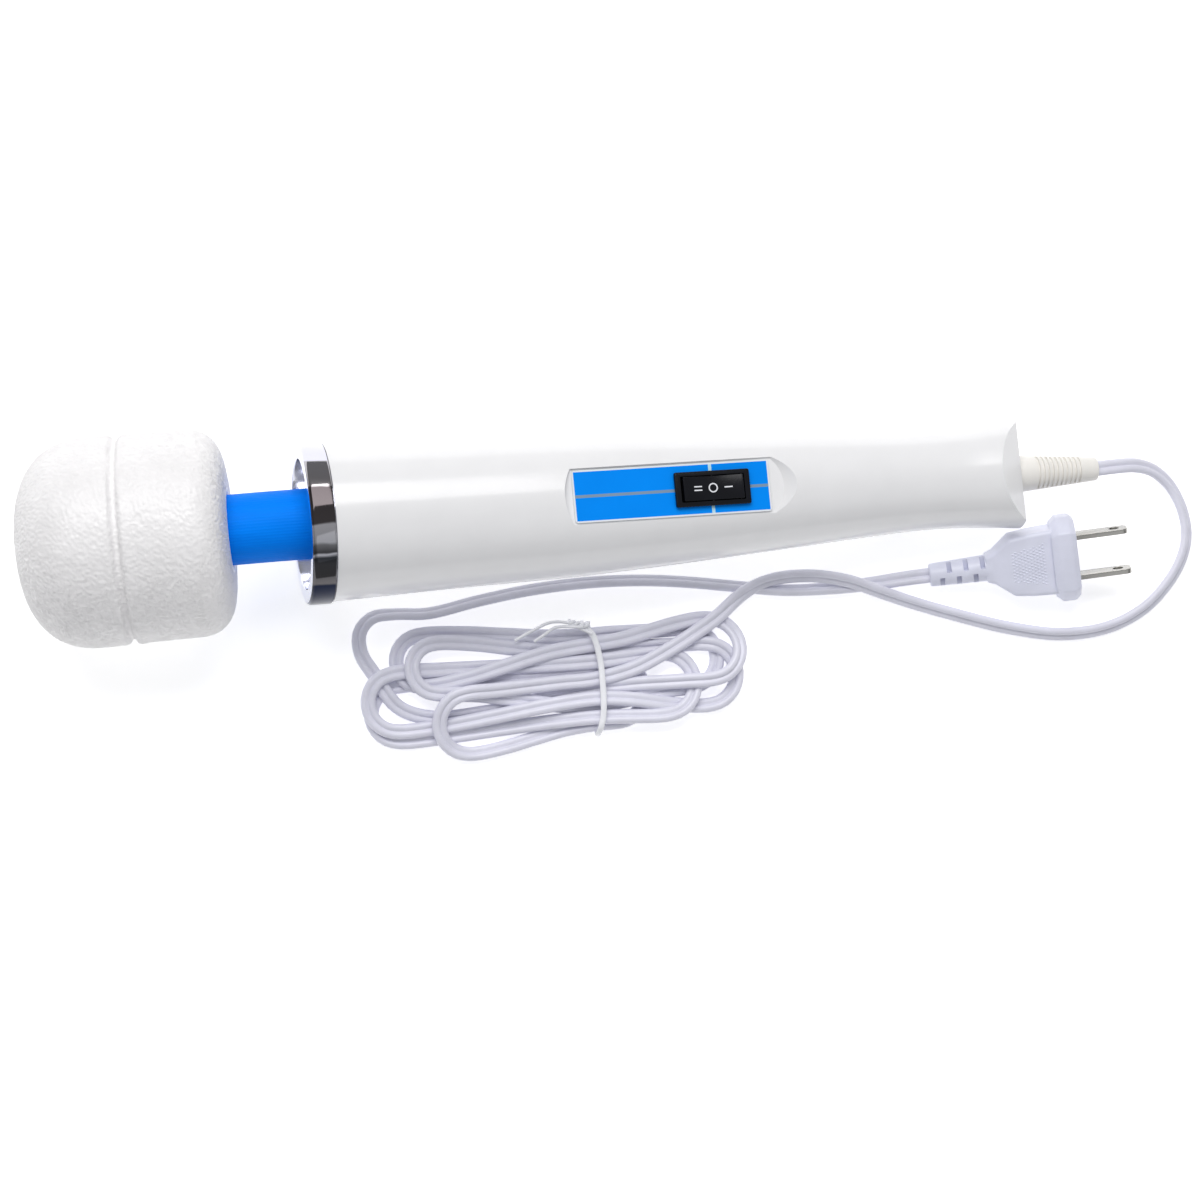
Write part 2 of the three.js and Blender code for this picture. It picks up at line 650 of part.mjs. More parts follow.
function buildElectrics(wand) {
  const top = BOARD_HEIGHT + 1.6;
  add(wand, 'speed_board', 'board', block(150, 180, -8.5, 8.5, BOARD_HEIGHT, top));
  add(wand, 'speed_diode', 'carbon', rod(154, 160, 1.6, 12)).position.set(0, -4, top + GAP + 1.6);
  add(wand, 'noise_capacitor', 'inner_plastic', block(164, 176, -3.5, 3.5, top + GAP, top + 8));
  add(wand, 'inner_cord', 'cord', rod(183.5, 207.6, 2.2, 12));
  add(wand, 'cord_clamp', 'inner_plastic', cut(
    block(CLAMP_X - 3, CLAMP_X + 3, -8, 8, 2.2 + GAP, 5),
    [-CLAMP_SCREW_Y, CLAMP_SCREW_Y].map((y) => post(CLAMP_X, y, 0, 8, 1.2, 12)),
  ));
  [-CLAMP_SCREW_Y, CLAMP_SCREW_Y].forEach((y, i) => {
    const mesh = add(wand, `clamp_screw_${i + 1}`, 'steel', screw(2, 1.4, 0.9, 12.5));
    mesh.rotation.x = Math.PI;
    mesh.position.set(CLAMP_X, y, 5 + GAP);
  });
  add(wand, 'supply_lead', 'rubber', wire([[182.8, 0, 0], [181.6, 0, 1], [172, 0, 6.5], [148, 0, 5.6],
    [140, 0, 2], [130.5, 0, -1.5]]));
  [1, -1].forEach((side, i) => {
    const x = i === 0 ? 116.2 : 123.2;
    add(wand, `motor_lead_${i + 1}`, 'rubber', wire([[x, side * 3.4, 0], [x - 4, side * 7, -4],
      [102, side * 5.4, -7], [90, side * 5, -6], [78.6, side * 11, 0]]));
  });
}

// ---------------------------------------------------------------- strain relief

const RELIEF_END = 249;
const RELIEF_TIP_RADIUS = 3.6;

function buildRelief(wand) {
  const root = RELIEF_BORE - GAP;
  const ribs = 6;
  const first = BODY_LENGTH + 4.6;
  const pitch = 2.35;
  const radius = (x) => THREE.MathUtils.mapLinear(x, BODY_LENGTH, RELIEF_END, root, RELIEF_TIP_RADIUS);
  const outline = [[TAIL_BLOCK_START - 5, 0], [TAIL_BLOCK_START - 5, 8.5], [TAIL_BLOCK_START - GAP, 8.5],
    [TAIL_BLOCK_START - GAP, root], [BODY_LENGTH, root]];
  for (let i = 0; i < ribs; i += 1) {
    const x = first + i * pitch;
    const rim = radius(x);
    outline.push([x, rim], [x + 0.15, rim - 0.9], [x + 0.95, rim - 0.9], [x + 1.1, rim]);
  }
  outline.push([RELIEF_END, RELIEF_TIP_RADIUS], [RELIEF_END, 0]);
  add(wand, 'strain_relief', 'relief', turn(outline, 14));
}

// ---------------------------------------------------------------- neck

// Centre line of the neck, from inside the handle (s below 0) to inside the head.
class NeckLine extends THREE.Curve {
  constructor(start, end) {
    super();
    this.start = start;
    this.end = end;
  }

  getPoint(t) {
    const s = THREE.MathUtils.lerp(this.start, this.end, t);
    const bent = THREE.MathUtils.clamp(s, 0, NECK_LENGTH);
    const angle = NECK_BEND * bent / NECK_LENGTH;
    const radius = NECK_LENGTH / NECK_BEND;
    const straight = s - bent;
    return v3(
      -radius * Math.sin(angle) - straight * Math.cos(angle),
      0,
      -radius * (1 - Math.cos(angle)) - straight * Math.sin(angle),
    );
  }
}

// Helix round the neck's centre line.
class SpringLine extends THREE.Curve {
  getPoint(t) {
    const line = new NeckLine(1.2, NECK_LENGTH - 1.2);
    const centre = line.getPoint(t);
    const along = line.getTangent(t);
    const side = v3(0, 1, 0);
    const up = v3().crossVectors(side, along);
    const turnAngle = 2 * Math.PI * SPRING_TURNS * t;
    return centre
      .addScaledVector(side, SPRING_RADIUS * Math.cos(turnAngle))
      .addScaledVector(up, SPRING_RADIUS * Math.sin(turnAngle));
  }
}

function buildNeck(wand) {
  const tube = circle(SLEEVE_RADIUS);
  tube.holes.push(new THREE.Path().absarc(0, 0, SLEEVE_BORE, 0, 2 * Math.PI, true));
  const sleeveLine = new NeckLine(-SLEEVE_IN_BODY, NECK_LENGTH + SLEEVE_IN_HEAD);
  add(wand, 'neck_sleeve', 'blue_sleeve', sweep(tube, sleeveLine, 10, 12));
  const shaftLine = new NeckLine(-16, NECK_LENGTH + 18);
  add(wand, 'flex_shaft', 'steel', sweep(sided(FLEX_RADIUS - 0.1, 10), shaftLine, 12, 1));
  add(wand, 'neck_spring', 'steel', sweep(sided(SPRING_WIRE, 5), new SpringLine(), 56, 1));
}

// ---------------------------------------------------------------- head

// Outer outline of the cushion, from the tip to the neck hole.
function cushionOutline() {
  const dome = Array.from({ length: 11 }, (_, i) => {
    const angle = Math.PI / 2 * i / 10;
    const along = Math.cos(angle) ** (2 / HEAD_DOME_POWER);
    const out = Math.sin(angle) ** (2 / HEAD_DOME_POWER);
    return [-HEAD_LENGTH + HEAD_DOME * (1 - along), HEAD_RADIUS * out];
  });
  const groove = [
    [HEAD_GROOVE_X - 1.6, HEAD_RADIUS], [HEAD_GROOVE_X - 0.4, HEAD_RADIUS - 1.7],
    [HEAD_GROOVE_X + 0.4, HEAD_RADIUS - 1.7], [HEAD_GROOVE_X + 1.8, HEAD_RADIUS - 0.1],
  ];
  const back = Array.from({ length: 7 }, (_, i) => {
    const angle = Math.PI / 2 * i / 6;
    return [
      -HEAD_BACK_ROUND * (1 - Math.sin(angle)),
      HEAD_BACK_FLAT + (HEAD_RADIUS - 0.4 - HEAD_BACK_FLAT) * Math.cos(angle) ** 0.8,
    ];
  });
  return [...dome, ...groove, ...back];
}

function buildHead(head) {
  const inner = CORE_RADIUS + GAP;
  add(head, 'head_cushion', 'cushion', turn([
    ...cushionOutline(),
    [0, SLEEVE_RADIUS + GAP + 0.4], [-4, SLEEVE_RADIUS + GAP + 0.4], [-4, inner],
    [-HEAD_LENGTH + 6.5, inner], [-HEAD_LENGTH + 6.5, 0],
  ]));

  const seatRear = 7.3;
  const seatFront = 6.3;
  add(head, 'head_core_rear', 'inner_plastic', turn([
    [0, SPIGOT_BORE], [0, SPIGOT_RADIUS], [-8.3, SPIGOT_RADIUS], [-8.3, SLEEVE_RADIUS + GAP],
    [-4.3, SLEEVE_RADIUS + GAP], [-4.3, CORE_RADIUS], [CORE_SPLIT + GAP, CORE_RADIUS],
    [CORE_SPLIT + GAP, CORE_RADIUS - CORE_WALL], [-11, CORE_RADIUS - CORE_WALL],
    [-11, seatRear + 2], [-21.3, seatRear + 2], [-21.3, seatRear], [-14.7, seatRear], [-14.7, 5.4],
    [-11, 5.4], [-11, SPIGOT_BORE],
  ], 24));
  add(head, 'head_core_front', 'inner_plastic', turn([
    [CORE_SPLIT, CORE_RADIUS], [CORE_SPLIT, CORE_RADIUS - CORE_WALL], [-53.5, CORE_RADIUS - CORE_WALL],
    [-53.5, seatFront + 2], [-46, seatFront + 2], [-46, seatFront], [-53.5, seatFront], [-53.5, 0],
    [-57, 0], [-57, CORE_RADIUS],
  ], 24));
  add(head, 'head_bearing_rear', 'steel', ring(-21, -16, 3.9, seatRear - GAP, 16));
  add(head, 'head_bearing_front', 'steel', ring(-51.5, -46.5, 2.8, seatFront - GAP, 16));
  add(head, 'eccentric_shaft', 'steel', turn([
    [-13, FLEX_RADIUS + GAP], [-13, 3.6], [-24, 3.6], [-24, 2.5], [-52.5, 2.5], [-52.5, 0],
    [-20, 0], [-20, FLEX_RADIUS + GAP],
  ], 14));
  const weight = sector(2.8, 14, -Math.PI / 2, Math.PI / 2 - 0.1);
  add(head, 'eccentric_weight', 'brass', join([
    alongX(weight, -43, -27), ring(-43, -27, 2.8, 5, 16),
  ]));
}

// ---------------------------------------------------------------- plug

const PLUG_LENGTH = 46;
const PLUG_FLANGE = 7.6;
const BLADE_SPACING = 12.7;
const BLADE_WIDTH = 6.35;
const BLADE_THICKNESS = 1.5;
const BLADE_LENGTH = 16;

function buildPlug(plug) {
  const ribs = [4, 8, 12];
  const barrel = [[0, 0], [0, 3.4]];
  for (const x of ribs) {
    barrel.push([x, 3.6], [x + 0.2, 2.7], [x + 1.9, 2.7], [x + 2.1, 3.8]);
  }
  barrel.push([21, 4.6], [21, 0]);
  const body = new THREE.Shape();
  body.moveTo(17.5, -4.4);
  body.quadraticCurveTo(22, -4.8, 26, -7.4);
  body.quadraticCurveTo(30, -9.6, 39, -10.4);
  body.lineTo(39, 10.4);
  body.quadraticCurveTo(30, 9.6, 26, 7.4);
  body.quadraticCurveTo(22, 4.8, 17.5, 4.4);
  const slab = new THREE.ExtrudeGeometry(body, {
    depth: 7, bevelThickness: 2.2, bevelSize: 2, bevelOffset: -2, bevelSegments: 2, curveSegments: 4,
  });
  slab.translate(0, 0, -3.5);
  const start = PLUG_LENGTH - PLUG_FLANGE;
  const flange = new THREE.Shape([
    v2(-13.4, -2.6), v2(-9.2, -8.2), v2(9.2, -8.2), v2(13.4, -2.6),
    v2(13.4, 2.6), v2(9.2, 8.2), v2(-9.2, 8.2), v2(-13.4, 2.6),
  ]);
  add(plug, 'plug_body', 'plug', join([turn(barrel, 14), slab, alongX(flange, start, PLUG_LENGTH)]));
  [1, -1].forEach((side, i) => {
    const start = PLUG_LENGTH + GAP;
    const end = start + BLADE_LENGTH;
    const y = side * BLADE_SPACING / 2;
    const half = BLADE_WIDTH / 2;
    const outline = new THREE.Shape([
      v2(start, -half), v2(end - 1.6, -half), v2(end, -half + 1.2),
      v2(end, half - 1.2), v2(end - 1.6, half), v2(start, half),
    ]);
    outline.holes.push(new THREE.Path().absarc(end - 4, 0, 1.6, 0, 2 * Math.PI, true));
    const blade = acrossY(outline, BLADE_THICKNESS, 8);
    blade.translate(0, y, 0);
    add(plug, `plug_blade_${i + 1}`, 'steel', blade);
  });
}

// ---------------------------------------------------------------- cord

// Route of the cord from the strain relief to the hank, lying on the table.
const LEAD_ROUTE = [
  [166.8, 0, 13.6], [173, 0.3, 12.9], [180, 0.4, 10.2], [187, -1.5, 5.8], [192.5, -6.5, 2.6],
  [195.4, -14, 1.8], [195.8, -22, 1.8], [193.5, -29, 1.8], [188.6, -36, 1.8], [180, -43.6, 1.8],
  [168, -48.6, 1.8], [153, -49.6, 1.8], [137, -46.4, 1.8], [119, -40.4, 1.8], [104, -34.8, 2.8],
  [95, -31.2, 4.8], [87, -27.8, 5.5], [74, -25, 5.5], [62, -25.4, 5.5], [54, -28.6, 5.3], [47.6, -32.4, 4],
];

// Route from the plug to the hank.
const TAIL_ROUTE = [
  [112.1, -28, 4.9], [104, -28.3, 3.7], [96, -28.8, 2.4], [81, -29.2, 1.8], [67, -28.6, 1.8],
  [51, -26, 1.8], [37, -23.6, 1.8], [22, -21.8, 1.8], [5, -21.2, 1.8], [-12, -22, 1.8], [-28, -24, 1.8],
  [-44, -26.6, 1.8], [-54, -26, 1.8], [-61, -26.4, 1.8], [-65.2, -30.4, 1.8], [-65.6, -37, 1.8],
  [-62, -44.4, 1.8],
];

function cordTube(route, steps) {
  const curve = new THREE.CatmullRomCurve3(route.map((point) => v3(...point)), false, 'centripetal');
  return sweep(sided(CORD_TUBE, CORD_SIDES), curve, steps, 1);
}

function hankShape() {
  const [leftX, leftY] = HANK_LEFT;
  const [rightX, rightY] = HANK_RIGHT;
  const lean = Math.atan2(rightY - leftY, rightX - leftX);
  const shape = new THREE.Shape();
  shape.absarc(rightX, rightY, HANK_RADIUS, lean - Math.PI / 2, lean + Math.PI / 2);
  shape.absarc(leftX, leftY, HANK_RADIUS, lean + Math.PI / 2, lean + 1.5 * Math.PI);
  return shape;
}

// Wire band round the middle of the hank.
function cordTie() {
  const share = (TIE_X - HANK_LEFT[0]) / (HANK_RIGHT[0] - HANK_LEFT[0]);
  const middle = THREE.MathUtils.lerp(HANK_LEFT[1], HANK_RIGHT[1], share);
  const half = HANK_RADIUS + 2 * GAP;
  const top = HANK_LIFT + HANK_THICKNESS + GAP;
  const x0 = TIE_X - TIE_WIDTH / 2;
  const x1 = TIE_X + TIE_WIDTH / 2;
  const wide = half + TIE_THICKNESS;
  const outer = block(x0, x1, middle - wide, middle + wide, 0, top + TIE_THICKNESS);
  return cut(outer, [block(x0 - 1, x1 + 1, middle - half, middle + half, TIE_THICKNESS, top)]);
}

function buildCord(model) {
  add(model, 'cord_lead', 'cord', cordTube(LEAD_ROUTE, 34));
  add(model, 'cord_tail', 'cord', cordTube(TAIL_ROUTE, 28));
  add(model, 'cord_hank', 'cord', upward(hankShape(), HANK_LIFT, HANK_LIFT + HANK_THICKNESS, 10));
  add(model, 'cord_tie', 'cord', cordTie());
}

// ---------------------------------------------------------------- assembly

const wand = new THREE.Group();
wand.position.set(COLLAR_X, 0, COLLAR_Z);
wand.rotation.y = BODY_TILT;
buildCasing(wand);
buildCollar(wand);
buildPanel(wand);
buildStator(wand);
buildMotorFrame(wand);
buildRotor(wand);
buildElectrics(wand);
buildRelief(wand);
buildNeck(wand);

const head = new THREE.Group();
head.position.copy(new NeckLine(0, NECK_LENGTH).getPoint(1));
head.rotation.y = -NECK_BEND;
buildHead(head);
wand.add(head);

const plug = new THREE.Group();
plug.position.set(...PLUG_PLACE);
plug.rotation.set(PLUG_ROLL, -PLUG_PITCH, PLUG_YAW, 'ZYX');
buildPlug(plug);

const model = new THREE.Group();
model.name = 'wand_massager';
model.add(wand, plug);
buildCord(model);

export default model;
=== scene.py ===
"""Looks of the handheld wand massager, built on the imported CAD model.

The scene is in metres and in the CAD frame. The wand's sizes are written in millimetres, in
three working frames that hold the scale: the handle's, whose x runs along it from the front
of the collar, the head's, whose x runs from its back rim towards the neck, and the plug's.
"""

import json
import math

import bmesh
import bpy
import numpy as np
from mathutils import Matrix, Vector, noise


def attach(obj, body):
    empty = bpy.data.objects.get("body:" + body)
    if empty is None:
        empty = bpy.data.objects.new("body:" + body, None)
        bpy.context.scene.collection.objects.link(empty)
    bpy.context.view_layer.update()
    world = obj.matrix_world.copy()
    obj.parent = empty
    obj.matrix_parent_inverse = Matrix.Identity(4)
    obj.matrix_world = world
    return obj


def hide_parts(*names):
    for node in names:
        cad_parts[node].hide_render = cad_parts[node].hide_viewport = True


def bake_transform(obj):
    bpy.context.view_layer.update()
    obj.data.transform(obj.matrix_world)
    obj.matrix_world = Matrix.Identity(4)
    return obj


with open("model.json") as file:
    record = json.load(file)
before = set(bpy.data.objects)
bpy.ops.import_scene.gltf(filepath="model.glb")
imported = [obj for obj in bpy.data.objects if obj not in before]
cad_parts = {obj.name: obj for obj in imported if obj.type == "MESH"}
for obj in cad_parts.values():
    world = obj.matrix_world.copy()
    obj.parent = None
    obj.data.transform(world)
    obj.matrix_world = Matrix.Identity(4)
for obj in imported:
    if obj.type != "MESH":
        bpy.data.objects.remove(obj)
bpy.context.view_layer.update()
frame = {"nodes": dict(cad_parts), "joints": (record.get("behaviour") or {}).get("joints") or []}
JOINTS = {joint["name"]: joint for joint in frame["joints"]}
MM = 0.001

# -------- working frames


def frame_along(joint, back):
    """Frame whose x is a joint's axis and whose origin lies `back` millimetres before the joint."""
    x = Vector(JOINTS[joint]["axis"]).normalized()
    y = Vector((0, 1, 0))
    origin = Vector(JOINTS[joint]["pos_m"]) - x * back * MM
    turn = Matrix((x, y, x.cross(y))).transposed().to_4x4()
    return Matrix.Translation(origin) @ turn @ Matrix.Scale(MM, 4)


WAND = frame_along("motor_spin", 50)
HEAD = frame_along("eccentric_spin", -35)

PANEL_X, PANEL_HEIGHT = 109.9, 17.5
PANEL_SLOPE = math.radians(3.3)
ON_PANEL = Matrix.Translation((PANEL_X, 0, PANEL_HEIGHT)) @ Matrix.Rotation(PANEL_SLOPE, 4, "Y")
PANEL = WAND @ ON_PANEL

PLUG_PLACE = (112.4, -28, 5)
PLUG_YAW, PLUG_PITCH, PLUG_ROLL = (math.radians(angle) for angle in (2, 8.5, 18))
PLUG = (Matrix.Scale(MM, 4) @ Matrix.Translation(PLUG_PLACE) @ Matrix.Rotation(PLUG_YAW, 4, "Z")
        @ Matrix.Rotation(-PLUG_PITCH, 4, "Y") @ Matrix.Rotation(PLUG_ROLL, 4, "X"))
TABLE = Matrix.Scale(MM, 4)

# -------- sizes

GAP = 0.3  # between pieces that touch

BODY_LENGTH = 222.6
CASING_FRONT, CASING_WALL, SEAM = 7.5, 2.2, 0.15
CASING_STATIONS = [(CASING_FRONT, 23.8), (46, 22.5), (80, 21.8), (102, 20.8), (123, 19.6),
                   (154, 17.5), (185, 15.5), (201, 15.3), (214, 16.1), (BODY_LENGTH, 16.8)]
TAIL_BLOCK_START, TAIL_BEVEL_START, TAIL_LAND = 213, 214.1, 7
CASING_SCREWS = [(92, 11.5), (92, -11.5), (188, 8.6), (188, -8.6)]
SCREW_HEAD_RADIUS, SCREW_HEAD_HEIGHT, SCREW_RADIUS = 2.7, 2, 1.2
SCREW_SEAT_DEPTH, SCREW_TIP_HEIGHT = 3.4, 7
THREAD_PITCH, THREAD_DEPTH = 0.9, 0.25
CROSS_SLOT_LENGTH, CROSS_SLOT_WIDTH, CROSS_SLOT_DEPTH = 3.2, 0.7, 0.9
UPPER_POST_RADIUS, LOWER_POST_RADIUS = 3.2, 4.2
RIBS_X, RIB_HALF_THICKNESS, RIB_TOP = (154, 176), 1, -6.3
SADDLE_X, SADDLE_HALF_LENGTH, SADDLE_TOP = 197, 3, -2.6
CLAMP_HOLE_Y, CLAMP_HOLE_DEPTH, CLAMP_HOLE_RADIUS = 5.6, 9, 1.2

LABEL_LENGTH, LABEL_WIDTH, LABEL_THICKNESS, LABEL_BASE = 61.3, 15.8, 0.4, 0.25
LABEL_BORDER, LABEL_LINE, LABEL_MARK = 0.5, 0.45, 0.5
POCKET_WIDTH, POCKET_FLOOR = 17, 2
POCKET_HEAD_BULGE, POCKET_TAIL_BULGE, POCKET_RAMP = 2.6, 4.2, 1.3
SWITCH_X = 12.3
SWITCH_SEAT = LABEL_BASE + LABEL_THICKNESS + 0.25
BEZEL_LENGTH, BEZEL_WIDTH, BEZEL_THICKNESS = 23.5, 10.6, 1.4
SWITCH_LENGTH, SWITCH_WIDTH, SWITCH_DEPTH = 21, 9.1, 12.5
ROCKER_LENGTH, ROCKER_WIDTH, ROCKER_PIVOT = 18.8, 7.3, 1.6
ROCKER_TOP, ROCKER_HOLLOW, ROCKER_SKIRT, ROCKER_KEEL = 1.7, 0.9, 1.8, 1.3
PIVOT_HOLE_RADIUS, PIVOT_PIN_RADIUS = 0.6, 0.45
MARK_BARS = [(-6, -3.5, 0.55), (-6, -3.5, -0.55), (3.5, 6, 0)]
MARK_RING_RADIUS, MARK_HALF_WIDTH, MARK_HALF_HEIGHT = 1.25, 0.19, 0.05

COLLAR_RADIUS, COLLAR_LENGTH, COLLAR_MOUTH = 24.4, 7.2, 19.6
COLLAR_WEB_X, COLLAR_WEB, COLLAR_SKIRT = 5.2, 1.6, 21.4
VENT_COUNT, VENT_HALF_WIDTH, VENT_INNER, VENT_OUTER = 12, 1.2, 12.6, 17.8

SLEEVE_RADIUS, SLEEVE_BORE, SLEEVE_FLUTES, FLUTE_DEPTH = 10.6, 6.6, 72, 0.036
SLEEVE_IN_BODY, SLEEVE_IN_HEAD = 7.7, 8
NECK_LENGTH = 21
NECK_BEND = math.radians(10.4)
SPRING_RADIUS, SPRING_WIRE, SPRING_TURNS, SPRING_INSET = 5.1, 0.8, 7, 1.2
FLEX_RADIUS, FLEX_STRANDS, FLEX_IN_BODY, FLEX_IN_HEAD = 2.5, 8, 16, 18

HEAD_LENGTH, HEAD_RADIUS = 64, 31.5
HEAD_DOME, HEAD_DOME_POWER = 24, 2.5
HEAD_GROOVE = -31.5
HEAD_GROOVE_DEPTHS = [(-3, 0), (-1.7, 0.25), (-0.35, 1.7), (0.35, 1.7),
                      (1.2, 0.45), (2.1, 0.02), (3.2, 0.1), (4.4, 0.3)]
HEAD_BACK_ROUND, HEAD_BACK_RADIUS, HEAD_BACK_FLAT = 12, HEAD_RADIUS - 0.4, 13
HEAD_BACK_POWERS = 0.84, 0.64
HEAD_RIM = SLEEVE_RADIUS + 0.7
HEAD_FRONT_WALL, HEAD_BACK_WALL, CORE_RADIUS = 6.5, 4, 24
HEAD_MESH = 0.45
GRAIN_PER_MM, GRAIN_DEPTH, GRAIN_CREASE = 0.95, 0.28, 3
SWELL_PER_MM, SWELL_DEPTH = 0.16, 0.05

RELIEF_END, RELIEF_ROOT, RELIEF_TIP, RELIEF_BORE = 249, 5.8, 3.6, 6.1
RELIEF_FLANGE_RADIUS, RELIEF_FLANGE_LENGTH = 8.5, 5
RELIEF_SLOT_START, RELIEF_SLOT_PITCH, RELIEF_SLOTS = BODY_LENGTH + 6.2, 1.5, 10
RELIEF_SLOT_WIDTH, RELIEF_SLOT_DEPTH, RELIEF_BRIDGE = 0.75, 0.75, 0.2

CORD_WIDTH, CORD_THICKNESS, CORD_LENGTH = 4.7, 2.5, 1.6

PLUG_LENGTH, PLUG_HALF_THICKNESS, PLUG_EDGE = 46, 5.7, 1.3
PLUG_BARREL = [(0, 0), (0, 3.2), (0.4, 3.6), (16, 4.1), (21, 4.4), (21, 0)]
PLUG_SECTIONS = [(17.5, 4.2, 3.8), (20, 5.0, 4.4), (25.5, 9.2, PLUG_HALF_THICKNESS),
                 (31, 9.9, PLUG_HALF_THICKNESS), (39, 10.4, PLUG_HALF_THICKNESS)]
PLUG_FLANGE_SECTIONS = [(38.2, 0.86), (40.4, 1), (44.4, 1), (PLUG_LENGTH, 0.9)]
PLUG_FLANGE = [(-13.4, -2.6), (-9.2, -8.2), (9.2, -8.2), (13.4, -2.6),
               (13.4, 2.6), (9.2, 8.2), (-9.2, 8.2), (-13.4, 2.6)]
BARREL_SLOTS, BARREL_SLOT_START, BARREL_SLOT_PITCH = 3, 3.0, 5.2
BARREL_SLOT_WIDTH, BARREL_SLOT_SHIFT = 1.5, 2.4
GRIP_ROWS, GRIP_COLUMNS, GRIP_START, GRIP_ROW_PITCH, GRIP_PITCH = 11, 13, 25.9, 0.95, 1.05
GRIP_POINT, GRIP_HEIGHT = (0.85, 0.5), 0.28
BLADE_SPACING, BLADE_WIDTH, BLADE_THICKNESS, BLADE_LENGTH = 12.7, 6.35, 1.5, 16
BLADE_ROUND, BLADE_HOLE_RADIUS, BLADE_HOLE_BACK = 1.8, 1.6, 4

# -------- curves


def catmull_rom(points, per_span, alpha):
    """Curve through the points: alpha 0 gives even steps, and 0.5 the centripetal curve."""
    p = np.array(points, float)
    p = np.vstack([2 * p[0] - p[1], p, 2 * p[-1] - p[-2]])
    curve = []
    for a, b, c, d in zip(p, p[1:], p[2:], p[3:]):
        k1 = np.linalg.norm(b - a) ** alpha
        k2 = k1 + np.linalg.norm(c - b) ** alpha
        k3 = k2 + np.linalg.norm(d - c) ** alpha
        for t in np.linspace(k1, k2, per_span, endpoint=False):
            ab = a + (b - a) * t / k1
            bc = b + (c - b) * (t - k1) / (k2 - k1)
            cd = c + (d - c) * (t - k2) / (k3 - k2)
            abc = ab + (bc - ab) * t / k2
            bcd = bc + (cd - bc) * (t - k1) / (k3 - k1)
            curve.append(abc + (bcd - abc) * (t - k1) / (k2 - k1))
    curve.append(p[-2])
    return np.array(curve)


def spaced(points, step):
    """The same line with its points a step apart."""
    along = np.r_[0, np.cumsum(np.linalg.norm(np.diff(points, axis=0), axis=1))]
    places = np.linspace(0, along[-1], round(along[-1] / step) + 1)
    return np.stack([np.interp(places, along, points[:, k]) for k in range(points.shape[1])], 1)


CASING_LINE = catmull_rom(CASING_STATIONS, 12, 0)


def casing_radius(x):
    return float(np.interp(x, CASING_LINE[:, 0], CASING_LINE[:, 1]))


def arc(cx, cy, radius, start, end, steps):
    """Points of an arc in the plane, from one angle in degrees to another."""
    angles = np.radians(np.linspace(start, end, steps + 1))
    return [(cx + radius * math.cos(a), cy + radius * math.sin(a)) for a in angles]


def rounded_rectangle(length, width, radius, steps=8):
    x, y = length / 2 - radius, width / 2 - radius
    corners = [(x, y, 0), (-x, y, 90), (-x, -y, 180), (x, -y, 270)]
    return [point for cx, cy, turn in corners for point in arc(cx, cy, radius, turn, turn + 90, steps)]


def smooth(t):
    t = np.clip(t, 0, 1)
    return t * t * (3 - 2 * t)


# -------- mesh building


def piece(name, verts, faces, matrix, material=None):
    """Mesh object with its vertices carried by the matrix and its faces turned outwards."""
    mesh = bpy.data.meshes.new(name)
    mesh.from_pydata([tuple(matrix @ Vector(v)) for v in verts], [], faces)
    bm = bmesh.new()
    bm.from_mesh(mesh)
    bmesh.ops.recalc_face_normals(bm, faces=bm.faces)
    bm.to_mesh(mesh)
    bm.free()
    obj = bpy.data.objects.new(name, mesh)
    bpy.context.scene.collection.objects.link(obj)
    if material:
        mesh.materials.append(material)
    return obj


def soften(obj, angle=35):
    """Smooth shading, broken at edges sharper than the angle."""
    obj.data.shade_smooth()
    obj.data.set_sharp_from_angle(angle=math.radians(angle))
    return obj


def settle(obj):
    """Applies the object's modifiers to its mesh."""
    graph = bpy.context.evaluated_depsgraph_get()
    made = bpy.data.meshes.new_from_object(obj.evaluated_get(graph))
    obj.modifiers.clear()
    obj.data = made
    return obj


def bevel(obj, width, segments=3, angle=40):
    modifier = obj.modifiers.new("bevel", "BEVEL")
    modifier.width = width * MM
    modifier.segments = segments
    modifier.limit_method = "ANGLE"
    modifier.angle_limit = math.radians(angle)
    return settle(obj)


def carve(obj, tools, operation="DIFFERENCE"):
    """Cuts the tools out of obj, or joins them to it, removes them, and keeps obj's own finish."""
    finishes = list(obj.data.materials)
    for tool in tools:
        modifier = obj.modifiers.new("carve", "BOOLEAN")
        modifier.operation = operation
        modifier.solver = "MANIFOLD"
        modifier.object = tool
        settle(obj)
        bpy.data.objects.remove(tool)
    obj.data.materials.clear()
    for material in finishes:
        obj.data.materials.append(material)
    obj.data.polygons.foreach_set("material_index", [0] * len(obj.data.polygons))
    return obj


def rings_to_faces(count, sides, closed_ends=True, looped=False):
    """Faces of a tube of `count` rings with `sides` corners each."""
    faces = []
    for i in range(count if looped else count - 1):
        a, b = i * sides, ((i + 1) % count) * sides
        for j in range(sides):
            k = (j + 1) % sides
            faces.append((a + j, a + k, b + k, b + j))
    if closed_ends and not looped:
        faces.append(tuple(range(sides)))
        faces.append(tuple(range((count - 1) * sides, count * sides)))
    return faces


